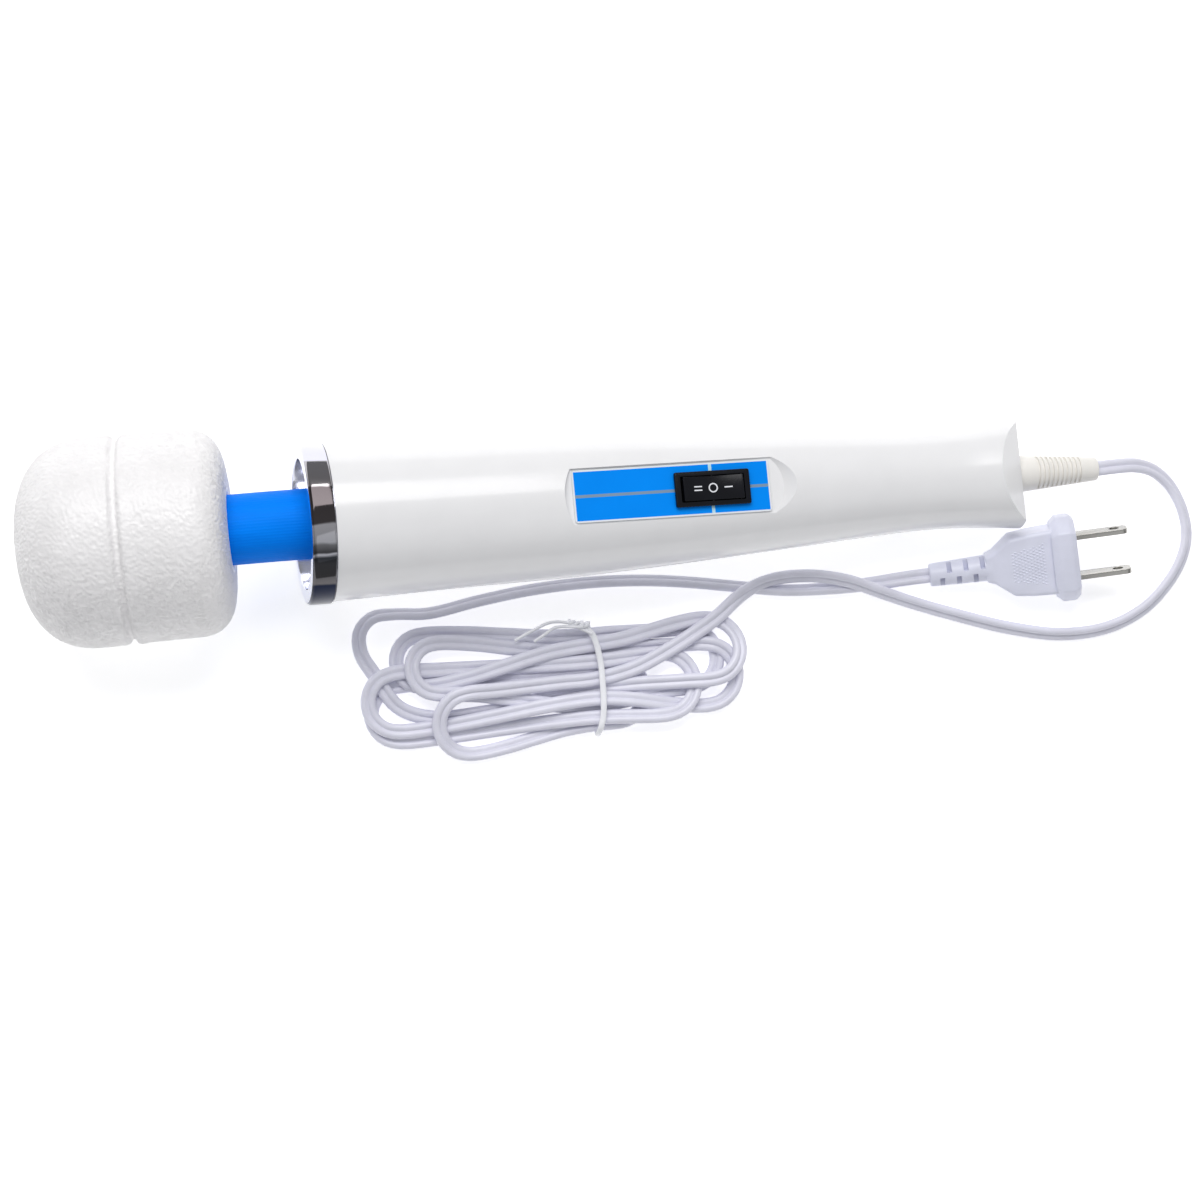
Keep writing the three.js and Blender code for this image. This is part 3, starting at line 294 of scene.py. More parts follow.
def turned(name, outline, matrix, material=None, sides=96):
    """Solid turned about x. The outline holds (x, radius) pairs and closes on the axis or on itself."""
    on_axis = outline[0][1] == 0 and outline[-1][1] == 0
    middle = outline[1:-1] if on_axis else outline
    angles = np.linspace(0, 2 * math.pi, sides, endpoint=False)
    verts = [(x, r * math.cos(a), r * math.sin(a)) for x, r in middle for a in angles]
    if not on_axis:
        return piece(name, verts, rings_to_faces(len(middle), sides, looped=True), matrix, material)
    faces = rings_to_faces(len(middle), sides, closed_ends=False)
    last = (len(middle) - 1) * sides
    first_tip, last_tip = len(verts), len(verts) + 1
    verts += [(outline[0][0], 0, 0), (outline[-1][0], 0, 0)]
    for j in range(sides):
        k = (j + 1) % sides
        faces += [(first_tip, k, j), (last_tip, last + j, last + k)]
    return piece(name, verts, faces, matrix, material)


def prism(name, outline, bottom, top, matrix, material=None):
    """Outline in the x-y plane, raised from bottom to top."""
    verts = [(x, y, z) for z in (bottom, top) for x, y in outline]
    return piece(name, verts, rings_to_faces(2, len(outline)), matrix, material)


def cross_prism(name, outline, width, matrix, material=None):
    """Outline in the x-z plane, across y, centred on y = 0."""
    verts = [(x, side * width / 2, z) for side in (-1, 1) for x, z in outline]
    return piece(name, verts, rings_to_faces(2, len(outline)), matrix, material)


def box(name, lowest, highest, matrix, material=None):
    (x0, y0, z0), (x1, y1, z1) = lowest, highest
    return prism(name, [(x0, y0), (x1, y0), (x1, y1), (x0, y1)], z0, z1, matrix, material)


def rod(name, start, end, radius, matrix, material=None, sides=48):
    return turned(name, [(start, 0), (start, radius), (end, radius), (end, 0)], matrix, material, sides)


def surface(name, stations, radius, matrix, material, sides):
    """Solid about x with closed flat ends, its radius a function of x and of the angle round it."""
    angles = np.linspace(0, 2 * math.pi, sides, endpoint=False)
    verts = []
    for x in stations:
        verts += [(x, r * math.cos(a), r * math.sin(a)) for a in angles for r in [radius(x, a)]]
    return piece(name, verts, rings_to_faces(len(stations), sides), matrix, material)


def frames_along(line, up):
    """Side and over at each point of a line, square to it, the side also square to a fixed up."""
    tangent = np.gradient(line, axis=0)
    tangent /= np.linalg.norm(tangent, axis=1)[:, None]
    side = np.cross(up, tangent)
    side /= np.linalg.norm(side, axis=1)[:, None]
    return side, np.cross(tangent, side)


def swept(name, line, section, matrix, material, up=(0, 0, 1), roll=None, looped=False):
    """Section of (side, up) pairs carried along a line, and rolled about it by given angles."""
    side, over = frames_along(line, np.array(up, float))
    roll = np.zeros(len(line)) if roll is None else roll
    cos, sin = np.cos(roll)[:, None], np.sin(roll)[:, None]
    across, high = side * cos + over * sin, over * cos - side * sin
    verts = [tuple(p + a * u + h * v) for p, a, h in zip(line, across, high) for u, v in section]
    return piece(name, verts, rings_to_faces(len(line), len(section), looped=looped), matrix, material)


def circle_section(radius, sides):
    return arc(0, 0, radius, 0, 360, sides)[:-1]


def joined(name, objects):
    """One object of several, in the first one's place."""
    first = objects[0]
    bm = bmesh.new()
    for obj in objects:
        bm.from_mesh(obj.data)
    bm.to_mesh(first.data)
    bm.free()
    for obj in objects[1:]:
        bpy.data.objects.remove(obj)
    first.name = name
    return first


# -------- materials


def new_node(tree, kind, **values):
    """Shader node with some of its inputs set, their names written with underscores for spaces."""
    node = tree.nodes.new(kind)
    for name, value in values.items():
        node.inputs[name.replace("_", " ")].default_value = value
    return node


def color_ramp(tree, stops):
    """Ramp through (position, colour) stops."""
    ramp = tree.nodes.new("ShaderNodeValToRGB")
    elements = ramp.color_ramp.elements
    while len(elements) < len(stops):
        elements.new(0.5)
    for element, (position, color) in zip(elements, stops):
        element.position = position
        element.color = (*color, 1)
    return ramp


def finish(name, color, roughness, metallic=0.0, mottle=0.04, grain=600, bump=0.05, streak=1.0, coat=0.0,
           specular=0.5):
    """Principled surface whose colour, gloss and relief vary with fine noise.

    grain is the noise's scale per metre, streak stretches it along the wand, and bump is in
    parts of a tenth of a millimetre."""
    material = bpy.data.materials.new(name)
    material.use_nodes = True
    tree = material.node_tree
    link = tree.links.new
    shader = tree.nodes["Principled BSDF"]
    shader.inputs["Metallic"].default_value = metallic
    shader.inputs["Specular IOR Level"].default_value = specular
    shader.inputs["Coat Weight"].default_value = coat
    shader.inputs["Coat Roughness"].default_value = 0.08

    coordinates = new_node(tree, "ShaderNodeTexCoord")
    stretch = new_node(tree, "ShaderNodeMapping", Scale=(1 / streak, 1, 1))
    cloud = new_node(tree, "ShaderNodeTexNoise", Scale=grain * 0.12, Detail=5)
    fine = new_node(tree, "ShaderNodeTexNoise", Scale=grain, Detail=3)
    link(coordinates.outputs["Object"], stretch.inputs["Vector"])
    for texture in (cloud, fine):
        link(stretch.outputs["Vector"], texture.inputs["Vector"])

    dark, light = ([min(c * share, 1) for c in color] for share in (1 - mottle, 1 + mottle))
    tint = color_ramp(tree, [(0.3, dark), (0.7, light)])
    link(cloud.outputs["Fac"], tint.inputs["Fac"])
    link(tint.outputs["Color"], shader.inputs["Base Color"])

    gloss = new_node(tree, "ShaderNodeMapRange", To_Min=roughness * 0.8, To_Max=min(roughness * 1.25, 1))
    link(fine.outputs["Fac"], gloss.inputs["Value"])
    link(gloss.outputs["Result"], shader.inputs["Roughness"])

    relief = new_node(tree, "ShaderNodeBump", Strength=bump, Distance=0.1 * MM)
    link(fine.outputs["Fac"], relief.inputs["Height"])
    link(relief.outputs["Normal"], shader.inputs["Normal"])
    return material


# Painted reflections: tones painted into the collar plating's colour from its +Y side to its -Y side,
# standing in for the surroundings that the mirror plating reflects: y in millimetres, tone.
PAINTED_REFLECTION_BANDS = [
    (24.4, (0.68, 0.68, 0.80)), (16.6, (0.64, 0.64, 0.74)), (16.2, (0.42, 0.41, 0.44)),
    (8.4, (0.36, 0.34, 0.35)), (7.8, (0.06, 0.052, 0.055)), (-3.0, (0.075, 0.066, 0.068)),
    (-3.6, (0.50, 0.49, 0.52)), (-8.6, (0.42, 0.42, 0.45)), (-9.4, (0.16, 0.16, 0.17)),
    (-11.5, (0.05, 0.05, 0.055)), (-12.0, (0.55, 0.55, 0.60)), (-12.8, (0.04, 0.045, 0.055)),
    (-14.6, (0.10, 0.10, 0.11)), (-19.8, (0.11, 0.105, 0.11)), (-20.4, (0.008, 0.012, 0.03)),
    (-24.4, (0.01, 0.014, 0.035)),
]
# how far the edges of the painted reflection bands waver
PAINTED_REFLECTION_WAVER = 0.9 * MM


def chrome_with_painted_reflections(name):
    """Mirror plating with painted reflections: its colour changes in wavering bands across the wand, standing
    in for what it reflects.
    """
    material = finish(name, (0.8, 0.8, 0.82), 0.07, 1, grain=500, bump=0.01)
    tree = material.node_tree
    link = tree.links.new
    coordinates = new_node(tree, "ShaderNodeTexCoord")
    split = new_node(tree, "ShaderNodeSeparateXYZ")
    waver = new_node(tree, "ShaderNodeTexNoise", Scale=130)
    shift = new_node(tree, "ShaderNodeMapRange", To_Min=-PAINTED_REFLECTION_WAVER, To_Max=PAINTED_REFLECTION_WAVER)
    total = new_node(tree, "ShaderNodeMath")
    across = new_node(tree, "ShaderNodeMapRange", From_Min=COLLAR_RADIUS * MM, From_Max=-COLLAR_RADIUS * MM)
    # ramp of painted reflection tones, laid across the collar by its y
    ramp = color_ramp(tree, [((COLLAR_RADIUS - y) / (2 * COLLAR_RADIUS), tone) for y, tone in PAINTED_REFLECTION_BANDS])
    link(coordinates.outputs["Object"], split.inputs["Vector"])
    link(coordinates.outputs["Object"], waver.inputs["Vector"])
    link(waver.outputs["Fac"], shift.inputs["Value"])
    link(split.outputs["Y"], total.inputs[0])
    link(shift.outputs["Result"], total.inputs[1])
    link(total.outputs["Value"], across.inputs["Value"])
    link(across.outputs["Result"], ramp.inputs["Fac"])
    link(ramp.outputs["Color"], tree.nodes["Principled BSDF"].inputs["Base Color"])
    return material


MATERIALS = {
    "casing": finish("casing_plastic", (0.86, 0.86, 0.87), 0.2, mottle=0.012, grain=900, bump=0.02,
                     coat=0.25),
    "cushion": finish("cushion_vinyl", (0.91, 0.90, 0.905), 0.36, mottle=0.03, grain=1100, bump=0.9),
    "blue_sleeve": finish("sleeve_rubber", (0.0, 0.22, 0.95), 0.5, mottle=0.10, grain=1500, bump=0.2,
                          streak=6, specular=0.05),
    # collar plating with painted reflection bands in its colour
    "chrome": chrome_with_painted_reflections("collar_chrome"),
    "chrome_inside": finish("collar_chrome_inside", (0.74, 0.75, 0.83), 0.12, 1, mottle=0.03, grain=500,
                            bump=0.03),
    "label": finish("label_blue", (0.0, 0.265, 0.97), 0.4, mottle=0.05, grain=500, bump=0.03, specular=0.05),
    "label_border": finish("label_border", (0.82, 0.86, 0.90), 0.3, mottle=0.02, grain=900, bump=0.03),
    "label_line": finish("label_line", (0.20, 0.31, 0.44), 0.35, mottle=0.04, grain=900, bump=0.03),
    "label_mark": finish("label_mark", (0.52, 0.80, 0.92), 0.3, mottle=0.03, grain=900, bump=0.03),
    "black_switch": finish("switch_black", (0.004, 0.0045, 0.0075), 0.22, mottle=0.2, grain=1200,
                           bump=0.04, specular=0.22),
    "switch_mark": finish("switch_mark_white", (0.82, 0.84, 0.88), 0.4, mottle=0.02, grain=1500, bump=0.05),
    "steel": finish("steel", (0.55, 0.56, 0.58), 0.32, 1, mottle=0.08, grain=1800, bump=0.15, streak=5),
    "copper": finish("copper", (0.72, 0.33, 0.16), 0.34, 1, mottle=0.12, grain=1500, bump=0.3),
    "brass": finish("brass", (0.74, 0.54, 0.24), 0.3, 1, mottle=0.08, grain=1300, bump=0.12),
    "inner_plastic": finish("inner_plastic", (0.55, 0.56, 0.58), 0.45, mottle=0.05, grain=800, bump=0.2),
    "rubber_black": finish("rubber_black", (0.018, 0.019, 0.02), 0.72, mottle=0.15, grain=1600, bump=0.4),
    "carbon": finish("carbon", (0.02, 0.02, 0.021), 0.6, mottle=0.25, grain=2500, bump=0.4),
    "board": finish("board_green", (0.03, 0.17, 0.07), 0.4, mottle=0.18, grain=700, bump=0.15, coat=0.3),
    "relief": finish("relief_pvc", (0.88, 0.86, 0.82), 0.42, mottle=0.03, grain=1400, bump=0.15),
    "cord": finish("cord_pvc", (0.75, 0.75, 0.85), 0.33, mottle=0.035, grain=1300, bump=0.08),
    "tie": finish("tie_film", (0.90, 0.91, 0.95), 0.25, mottle=0.04, grain=1600, bump=0.15, coat=0.4),
    "plug": finish("plug_pvc", (0.74, 0.755, 0.88), 0.34, mottle=0.035, grain=1300, bump=0.12),
    "floor": finish("floor_paper", (0.93, 0.93, 0.93), 0.8, mottle=0.004, grain=200, bump=0.0),
    "blades": finish("blade_nickel", (0.46, 0.45, 0.42), 0.24, 1, mottle=0.08, grain=1500, bump=0.12,
                     streak=8),
}

# The finish of every CAD node that stays in view.
CARRIED = {
    "inner_plastic": ["neck_holder", "end_bracket_front", "end_bracket_rear", "cooling_fan", "cord_clamp",
                      "noise_capacitor", "head_core_rear", "head_core_front"],
    "brass": ["switch_terminals", "brush_holder_1", "brush_holder_2", "drive_coupling", "eccentric_weight"],
    "steel": ["stator_core", "motor_bearing_front", "motor_bearing_rear", "motor_shaft", "armature_core",
              "clamp_screw_1", "clamp_screw_2", "head_bearing_rear", "head_bearing_front", "eccentric_shaft"],
    "copper": ["field_coil_1", "field_coil_2", "armature_winding", "commutator"],
    "rubber_black": ["motor_mount_front", "motor_mount_rear", "supply_lead", "motor_lead_1", "motor_lead_2"],
    "carbon": ["carbon_brush_1", "carbon_brush_2", "speed_diode"],
    "board": ["speed_board"],
    "cord": ["inner_cord"],
}


def dress_cad_nodes():
    for slot, names in CARRIED.items():
        for name in names:
            mesh = frame["nodes"][name].data
            mesh.materials.clear()
            mesh.materials.append(MATERIALS[slot])


def place(obj, body, slot, *nodes):
    """The piece moves with a body and stands for CAD nodes, which it hides; the slot is not used."""
    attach(obj, body)
    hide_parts(*nodes)
    return obj


# -------- camera

CAMERA_PLACE = Vector((-130.5, -146.0, 1237.7)) * MM
CAMERA_TARGET = Vector((7.4, -28.6, 20)) * MM
PICTURE_UP = Vector((0.0827, 0.9910, 0.1049))
CAMERA_LENS = 121.4


def make_camera():
    data = bpy.data.cameras.new("camera")
    data.lens = CAMERA_LENS
    data.sensor_width = 36
    data.clip_start, data.clip_end = 0.05, 50
    camera = bpy.data.objects.new("camera", data)
    bpy.context.scene.collection.objects.link(camera)
    bpy.context.scene.camera = camera
    back = (CAMERA_PLACE - CAMERA_TARGET).normalized()
    right = PICTURE_UP.cross(back).normalized()
    turn = Matrix((right, back.cross(right), back)).transposed()
    camera.matrix_world = Matrix.Translation(CAMERA_PLACE) @ turn.to_4x4()


# -------- cord

# Route on the table from the strain relief to the hank, as in the CAD, and into its tie.
LEAD_ROUTE = [
    (164.6, 0, 13.82), (166.8, 0, 13.6), (173, 0.3, 12.9), (180, 0.4, 10.2), (187, -1.5, 5.8),
    (192.5, -6.5, 2.6), (195.4, -14, 1.8), (195.8, -22, 1.8), (193.5, -29, 1.8), (188.6, -36, 1.8),
    (180, -43.6, 1.8), (168, -48.6, 1.8), (153, -49.6, 1.8), (137, -46.4, 1.8), (119, -40.4, 1.8),
    (104, -34.8, 2.8), (95, -31.2, 4.8), (87, -27.8, 5.5), (74, -25, 5.5), (62, -25.4, 5.5),
    (54, -28.6, 5.3), (44.1, -35.9, 5.2), (35.8, -40.7, 5.2), (27.6, -44.9, 5.2), (17, -49.2, 5.0),
]

# Route from the hank's last run to the plug.
TAIL_ROUTE = [
    (-12, -56.5, 2.4), (-30, -59, 1.4), (-46, -59, 1.4), (-56, -54.5, 1.4), (-62, -44.4, 1.8),
    (-65.6, -37, 1.8), (-65.2, -30.4, 1.8), (-61, -26.4, 1.8), (-54, -26, 1.8), (-44, -26.6, 1.8),
    (-28, -24, 1.8), (-12, -22, 1.8), (5, -21.2, 1.8), (22, -21.8, 1.8), (37, -23.6, 1.8),
    (51, -26, 1.8), (67, -28.6, 1.8), (81, -29.2, 1.8), (96, -28.8, 2.4), (104, -28.3, 3.7),
    (112.1, -28, 4.9), (115, -27.9, 5.4),
]

# Each run of the hank: its y and height at the tie, and then the fold that ends it, as the
# fold's farthest x, middle y, radius, and heights going in and coming out.
TIE_X = 5
HANK_RUNS = [
    (-51.4, 5.4, (-43.8, -61.4, 9.0, 9.5, 2.4)),
    (-64.3, 1.4, (21.0, -55.0, 9.2, 1.4, 1.4)),
    (-48.6, 1.4, (-64.0, -56.0, 8.8, 1.4, 1.6)),
    (-62.2, 4.0, (36.0, -53.8, 9.0, 4.0, 4.0)),
    (-46.3, 4.0, (-64.8, -54.0, 8.6, 4.2, 3.4)),
    (-57.0, 4.2, (49.5, -52.8, 9.2, 1.6, 1.4)),
    (-43.4, 1.4, (-51.0, -44.2, 7.8, 5.6, 7.0)),
    (-59.4, 1.4, (44.0, -47.5, 9.0, 1.4, 1.4)),
    (-38.4, 1.4, (-54.8, -40.6, 7.9, 3.0, 4.5)),
    (-40.8, 4.4, (51.0, -45.2, 9.6, 4.2, 7.0)),
    (-54.0, 4.2, None),
]
CORD_STEP, CORD_FLOOR = 2, 1.4
CORD_TILT = math.radians(50)

# The cord may settle between these two points of its routes, on the near side of HANK_SIDE.
SETTLES_FROM, SETTLES_TO = LEAD_ROUTE[18], TAIL_ROUTE[6]
HANK_SIDE, HANK_END = -33, 50
SETTLE_ROUNDS, SINK_PER_ROUND = 400, 0.008
TIE_LIFT, TIE_REACH = 1.3, 9


def run_points(a, b):
    """Points between two others, with an eased change of y."""
    return [(a[0] + (b[0] - a[0]) * t, a[1] + (b[1] - a[1]) * smooth(t), a[2] + (b[2] - a[2]) * t)
            for t in (0.25, 0.5, 0.75)]


def fold_points(start, end, fold):
    """Points from one crossing of the tie, round a fold and back to the next crossing."""
    far_x, middle_y, radius, height_in, height_out = fold
    side = math.copysign(1, far_x - TIE_X)
    turn = math.copysign(1, start[1] - end[1])
    centre_x = far_x - side * radius
    bend = [(centre_x + side * x, middle_y + turn * y) for x, y in arc(0, 0, radius, 90, -90, 6)]
    heights = height_in + (height_out - height_in) * smooth(np.linspace(0, 1, len(bend)))
    bend = [(x, y, z) for (x, y), z in zip(bend, heights)]
    return [start, *run_points(start, bend[0]), *bend, *run_points(bend[-1], end)]


def cord_route():
    """Line of the whole cord before its hank has settled."""
    crossings = [(TIE_X, y, z) for y, z, _ in HANK_RUNS]
    points = [*LEAD_ROUTE]
    for start, end, (_, _, fold) in zip(crossings, crossings[1:], HANK_RUNS):
        points += fold_points(start, end, fold)
    points += [crossings[-1], *TAIL_ROUTE]
    return spaced(catmull_rom(points, 12, 0.5), CORD_STEP)


def tie_lift(line):
    """Height by which the tie holds the hank off the table."""
    near_tie = np.exp(-((line[:, 0] - TIE_X) / TIE_REACH) ** 2)
    return np.where(line[:, 1] < HANK_SIDE, TIE_LIFT * near_tie, 0)


def lay_down(line, held):
    """Lets the hank's runs push each other apart until they lie on and beside each other."""
    flatness = np.array([1, 1, CORD_WIDTH / CORD_THICKNESS])
    give = np.array([0.35, 0.35, 1])
    clear = CORD_WIDTH + 0.15
    kernel = np.array([1, 2, 3, 4, 3, 2, 1]) / 16
    far_apart = np.triu(np.ones((len(line), len(line)), bool), 9)
    moved = np.zeros_like(line)
    for _ in range(SETTLE_ROUNDS):
        now = line + moved
        flat = now * flatness
        near_x, near_y = (abs(flat[:, None, k] - flat[:, k]) < clear for k in (0, 1))
        i, j = np.where(far_apart & near_x & near_y)
        apart = flat[i] - flat[j]
        distance = np.linalg.norm(apart, axis=1)
        touching = distance < clear
        i, j, apart, distance = i[touching], j[touching], apart[touching], distance[touching]
        slope = apart * flatness / distance[:, None] * give
        push = 0.5 * ((clear - distance) / (slope ** 2).sum(1))[:, None] * slope
        total, count = np.zeros_like(line), np.zeros(len(line))
        np.add.at(total, i, push)
        np.add.at(total, j, -push)
        np.add.at(count, i, 1)
        np.add.at(count, j, 1)
        moved += total / np.maximum(count, 1)[:, None]
        moved[:, 2] -= SINK_PER_ROUND
        blurred = np.stack([np.convolve(np.pad(m, 3, mode="edge"), kernel, "valid") for m in moved.T], 1)
        moved = np.where(held[:, None], 0, 0.7 * moved + 0.3 * blurred)
        moved[:, 2] = np.maximum(moved[:, 2], CORD_FLOOR + tie_lift(now) - line[:, 2])
        moved[held] = 0
    return spaced(line + moved, CORD_STEP)


def twin_section():
    """Section of the flat cord: two round wires joined by a web."""
    lobe = CORD_THICKNESS / 2
    apart = CORD_WIDTH / 2 - lobe
    right = arc(apart, 0, lobe, -150, 150, 12)
    return right + [(-x, -y) for x, y in right]


def cord_roll(line):
    """The cord lies flat in the hank and at its two ends, and leans on one edge between them."""
    along = np.r_[0, np.cumsum(np.linalg.norm(np.diff(line, axis=0), axis=1))]
    total = along[-1]
    hank = (line[:, 1] < HANK_SIDE + 2) & (line[:, 0] < HANK_END)
    ends = smooth((along - 12) / 22) * smooth((total - along - 10) / 25)
    lean = ends * np.where(hank, 0.15 + 0.25 * np.sin(along / 41), 1)
    return CORD_TILT * np.convolve(np.pad(lean, 6, mode="edge"), np.ones(13) / 13, "valid")


def make_cord():
    rough = cord_route()
    first, last = (int(np.argmin(np.linalg.norm(rough - end, axis=1))) for end in (SETTLES_FROM, SETTLES_TO))
    held = np.ones(len(rough), bool)
    held[first:last] = False
    line = lay_down(rough, held)
    roll = cord_roll(line)
    half_height = (CORD_WIDTH - CORD_THICKNESS) / 2 * abs(np.sin(roll)) + CORD_THICKNESS / 2 + 0.02
    line[:, 2] = np.maximum(line[:, 2], half_height)
    obj = swept("mains_cord", line, twin_section(), TABLE, MATERIALS["cord"], roll=-roll)
    soften(obj, 60)
    place(obj, "housing", "cord", "cord_lead", "cord_hank", "cord_tail")
    return obj, line


def tie_ring(low, high, top):
    """The tie's loop round the bundle, a flat strip."""
    x, middle = TIE_X, (low + high) / 2
    loop = [(x - 0.6, high + 0.3, top - 1.6), (x - 1.4, high - 1.2, top), (x + 0.6, high - 4, top + 0.1),
            (x + 2.0, high - 11, top + 0.1), (x + 2.2, middle, top + 0.15), (x + 1.6, low + 6, top),
            (x + 0.4, low + 1.6, top - 0.4), (x - 0.4, low, top - 2.4), (x - 0.2, low - 0.1, 3.0),
            (x, low + 1.6, 0.9), (x, middle, 0.75), (x, high - 1.6, 0.9), (x - 0.4, high + 0.3, 2.8)]
    ring = catmull_rom([*loop, *loop[:3]], 8, 0.5)[8:8 * (len(loop) + 1)]
    ring[:, 2] = np.maximum(ring[:, 2], 0.55)
    strip = [(0.45 * u, 0.95 * v) for u, v in circle_section(1, 16)]
    return swept("cord_tie", ring, strip, TABLE, MATERIALS["tie"], up=(1, 0, 0.01), looped=True)


def tie_ends(high, top):
    """The two loose ends, which bend away from the twist over the hank."""
    from_twist = [
        [(0.4, -3.4, 0.8), (-3.2, -1.5, 0.4), (-6.5, 0.4, 0.9), (-12, 1.2, -0.2), (-18, -0.9, -1.2),
         (-23.5, -3.4, -1.4)],
        [(-2.4, 0.8, -0.6), (-2.6, -1, 1.3), (-6.8, -0.6, 0.8), (-11, -0.6, 0.2), (-14.6, -2.6, -0.4),
         (-17.6, -4.2, -0.8)],
    ]
    lines = [catmull_rom(np.add(points, (TIE_X, high, top)), 10, 0.5) for points in from_twist]
    return [swept("tie_end", line, circle_section(0.5, 10), TABLE, MATERIALS["tie"]) for line in lines]


def tie_twist(high, top):
    """The two strands of the twist that closes the loop."""
    x = np.linspace(TIE_X - 0.5, TIE_X - 6.5, 48)
    turn = np.linspace(0, 4 * math.pi, 48)
    strands = []
    for start in (0, math.pi):
        y = high - 1.2 + 0.3 * (TIE_X - x) + 0.5 * np.cos(turn + start)
        z = top + 0.6 + 0.45 * np.sin(turn + start)
        helix = np.stack([x, y, z], 1)
        strands.append(swept("tie_twist", helix, circle_section(0.55, 10), TABLE, MATERIALS["tie"]))
    return strands


def make_tie(line):
    """Plastic-covered wire round the hank, its ends twisted together and lying on top."""
    bundle = line[(abs(line[:, 0] - TIE_X) < 4) & (line[:, 1] < HANK_SIDE)]
    low, high = bundle[:, 1].min() - 3.1, bundle[:, 1].max() + 3.1
    top = bundle[:, 2].max() + 2.1
    parts = [tie_ring(low, high, top), *tie_ends(high, top), *tie_twist(high, top)]
    return soften(joined("cord_tie_wire", parts), 50)


# -------- casing


def casing_outline(inset, end):
    inside = [(x, r - inset) for x, r in CASING_LINE if CASING_FRONT < x < end]
    front, back = (casing_radius(x) - inset for x in (CASING_FRONT, end))
    return [(CASING_FRONT, 0), (CASING_FRONT, front), *inside, (end, back), (end, 0)]


def pocket_outline(grow):
    """Straight sides and bulging ends, seen square to the panel."""
    half = POCKET_WIDTH / 2 + grow
    end = LABEL_LENGTH / 2 + 0.4
    outline = []
    for side, turn, bulge in ((1, 0, POCKET_TAIL_BULGE + grow), (-1, 180, POCKET_HEAD_BULGE + grow)):
        radius = (half ** 2 + bulge ** 2) / (2 * bulge)
        angle = math.degrees(math.asin(half / radius))
        outline += arc(side * (end + bulge - radius), 0, radius, turn - angle, turn + angle, 32)
    return outline


def post(x, y, bottom, top, radius):
    """Upright rod in the handle's frame."""
    outline = [(x + u, y + v) for u, v in circle_section(radius, 40)]
    return prism("post", outline, bottom, top, WAND)


def crossbar(x, half_length, top):
    """Bar across the lower half, from the floor of the casing up to a height."""
    return box("crossbar", (x - half_length, -30, -60), (x + half_length, 30, top), WAND)


def slab(name, low, high):
    """Everything between two heights of the handle's frame."""
    return box(name, (-50, -60, low), (BODY_LENGTH + 50, 60, high), WAND)


def switch_opening(bottom, top):
    outline = rounded_rectangle(SWITCH_LENGTH + 2 * GAP, SWITCH_WIDTH + 2 * GAP, 0.4)
    return prism("opening", [(SWITCH_X + x, y) for x, y in outline], bottom, top, PANEL)


def screw_seat(x, y):
    return SCREW_SEAT_DEPTH - math.sqrt(casing_radius(x) ** 2 - y * y)


def inside_casing(tool):
    """What of a solid lies within the shell's wall."""
    return carve(tool, [turned("core", casing_outline(0.4, TAIL_BLOCK_START), WAND)], "INTERSECT")


def casing_half(name, additions, cuts):
    """The turned shell, with its mouth, cord bore and tail bevels, and what one half adds and loses."""
    body = turned(name, casing_outline(0, BODY_LENGTH), WAND, MATERIALS["casing"], 192)
    cavity = turned("cavity", casing_outline(CASING_WALL, TAIL_BLOCK_START), WAND)
    carve(cavity, [prism("tray", pocket_outline(1.8), -POCKET_FLOOR, 8, PANEL)])
    mouth_radius = casing_radius(CASING_FRONT) - CASING_WALL
    mouth = rod("mouth", CASING_FRONT - 1, CASING_FRONT + 1, mouth_radius, WAND, sides=96)
    bore = rod("bore", TAIL_BLOCK_START - 1, BODY_LENGTH + 1, RELIEF_BORE, WAND)
    height = casing_radius(TAIL_BEVEL_START)
    wedge = [(TAIL_BEVEL_START, height), (BODY_LENGTH, TAIL_LAND), (BODY_LENGTH + 10, TAIL_LAND),
             (BODY_LENGTH + 10, height + 5), (TAIL_BEVEL_START, height + 5)]
    bevels = [cross_prism("bevel", [(x, side * z) for x, z in wedge], 60, WAND) for side in (1, -1)]
    carve(body, [cavity, mouth, bore, *bevels])
    carve(body, additions, "UNION")
    carve(body, cuts)
    true_casing_normals(soften(body, 30))
    return body


def true_casing_normals(obj):
    """Gives the outer surface its exact normals, so that the cuts in it leave no mark in its shading."""
    mesh = obj.data
    back = WAND.inverted()
    turn = WAND.to_3x3()
    normals = [Vector()] * len(mesh.loops)
    for polygon in mesh.polygons:
        centre = back @ polygon.center
        around = Vector((0, centre.y, centre.z))
        facing = (turn @ around).normalized().dot(polygon.normal)
        if facing < 0.95 or abs(around.length - casing_radius(centre.x)) > 0.06:
            continue
        for loop in polygon.loop_indices:
            point = back @ mesh.vertices[mesh.loops[loop].vertex_index].co
            out = Vector((0, point.y, point.z)).normalized()
            out.x = casing_radius(point.x - 0.5) - casing_radius(point.x + 0.5)
            normals[loop] = (turn @ out).normalized()
    mesh.normals_split_custom_set(normals)


def make_casing_top():
    additions = [inside_casing(post(x, y, 0, 60, UPPER_POST_RADIUS)) for x, y in CASING_SCREWS]
    lean = Matrix(((1, 0, POCKET_RAMP, 0), (0, 1, 0, 0), (0, 0, 1, 0), (0, 0, 0, 1)))
    cuts = [
        slab("lower_half", -80, SEAM),
        prism("pocket", pocket_outline(0), 0, 12, PANEL),
        prism("ramp", pocket_outline(0), 0, 12, PANEL @ lean),
        switch_opening(-8, 8),
        *[post(x, y, -1, 8, SCREW_RADIUS + GAP) for x, y in CASING_SCREWS],
    ]
    place(casing_half("casing_upper", additions, cuts), "housing", "casing", "casing_top")


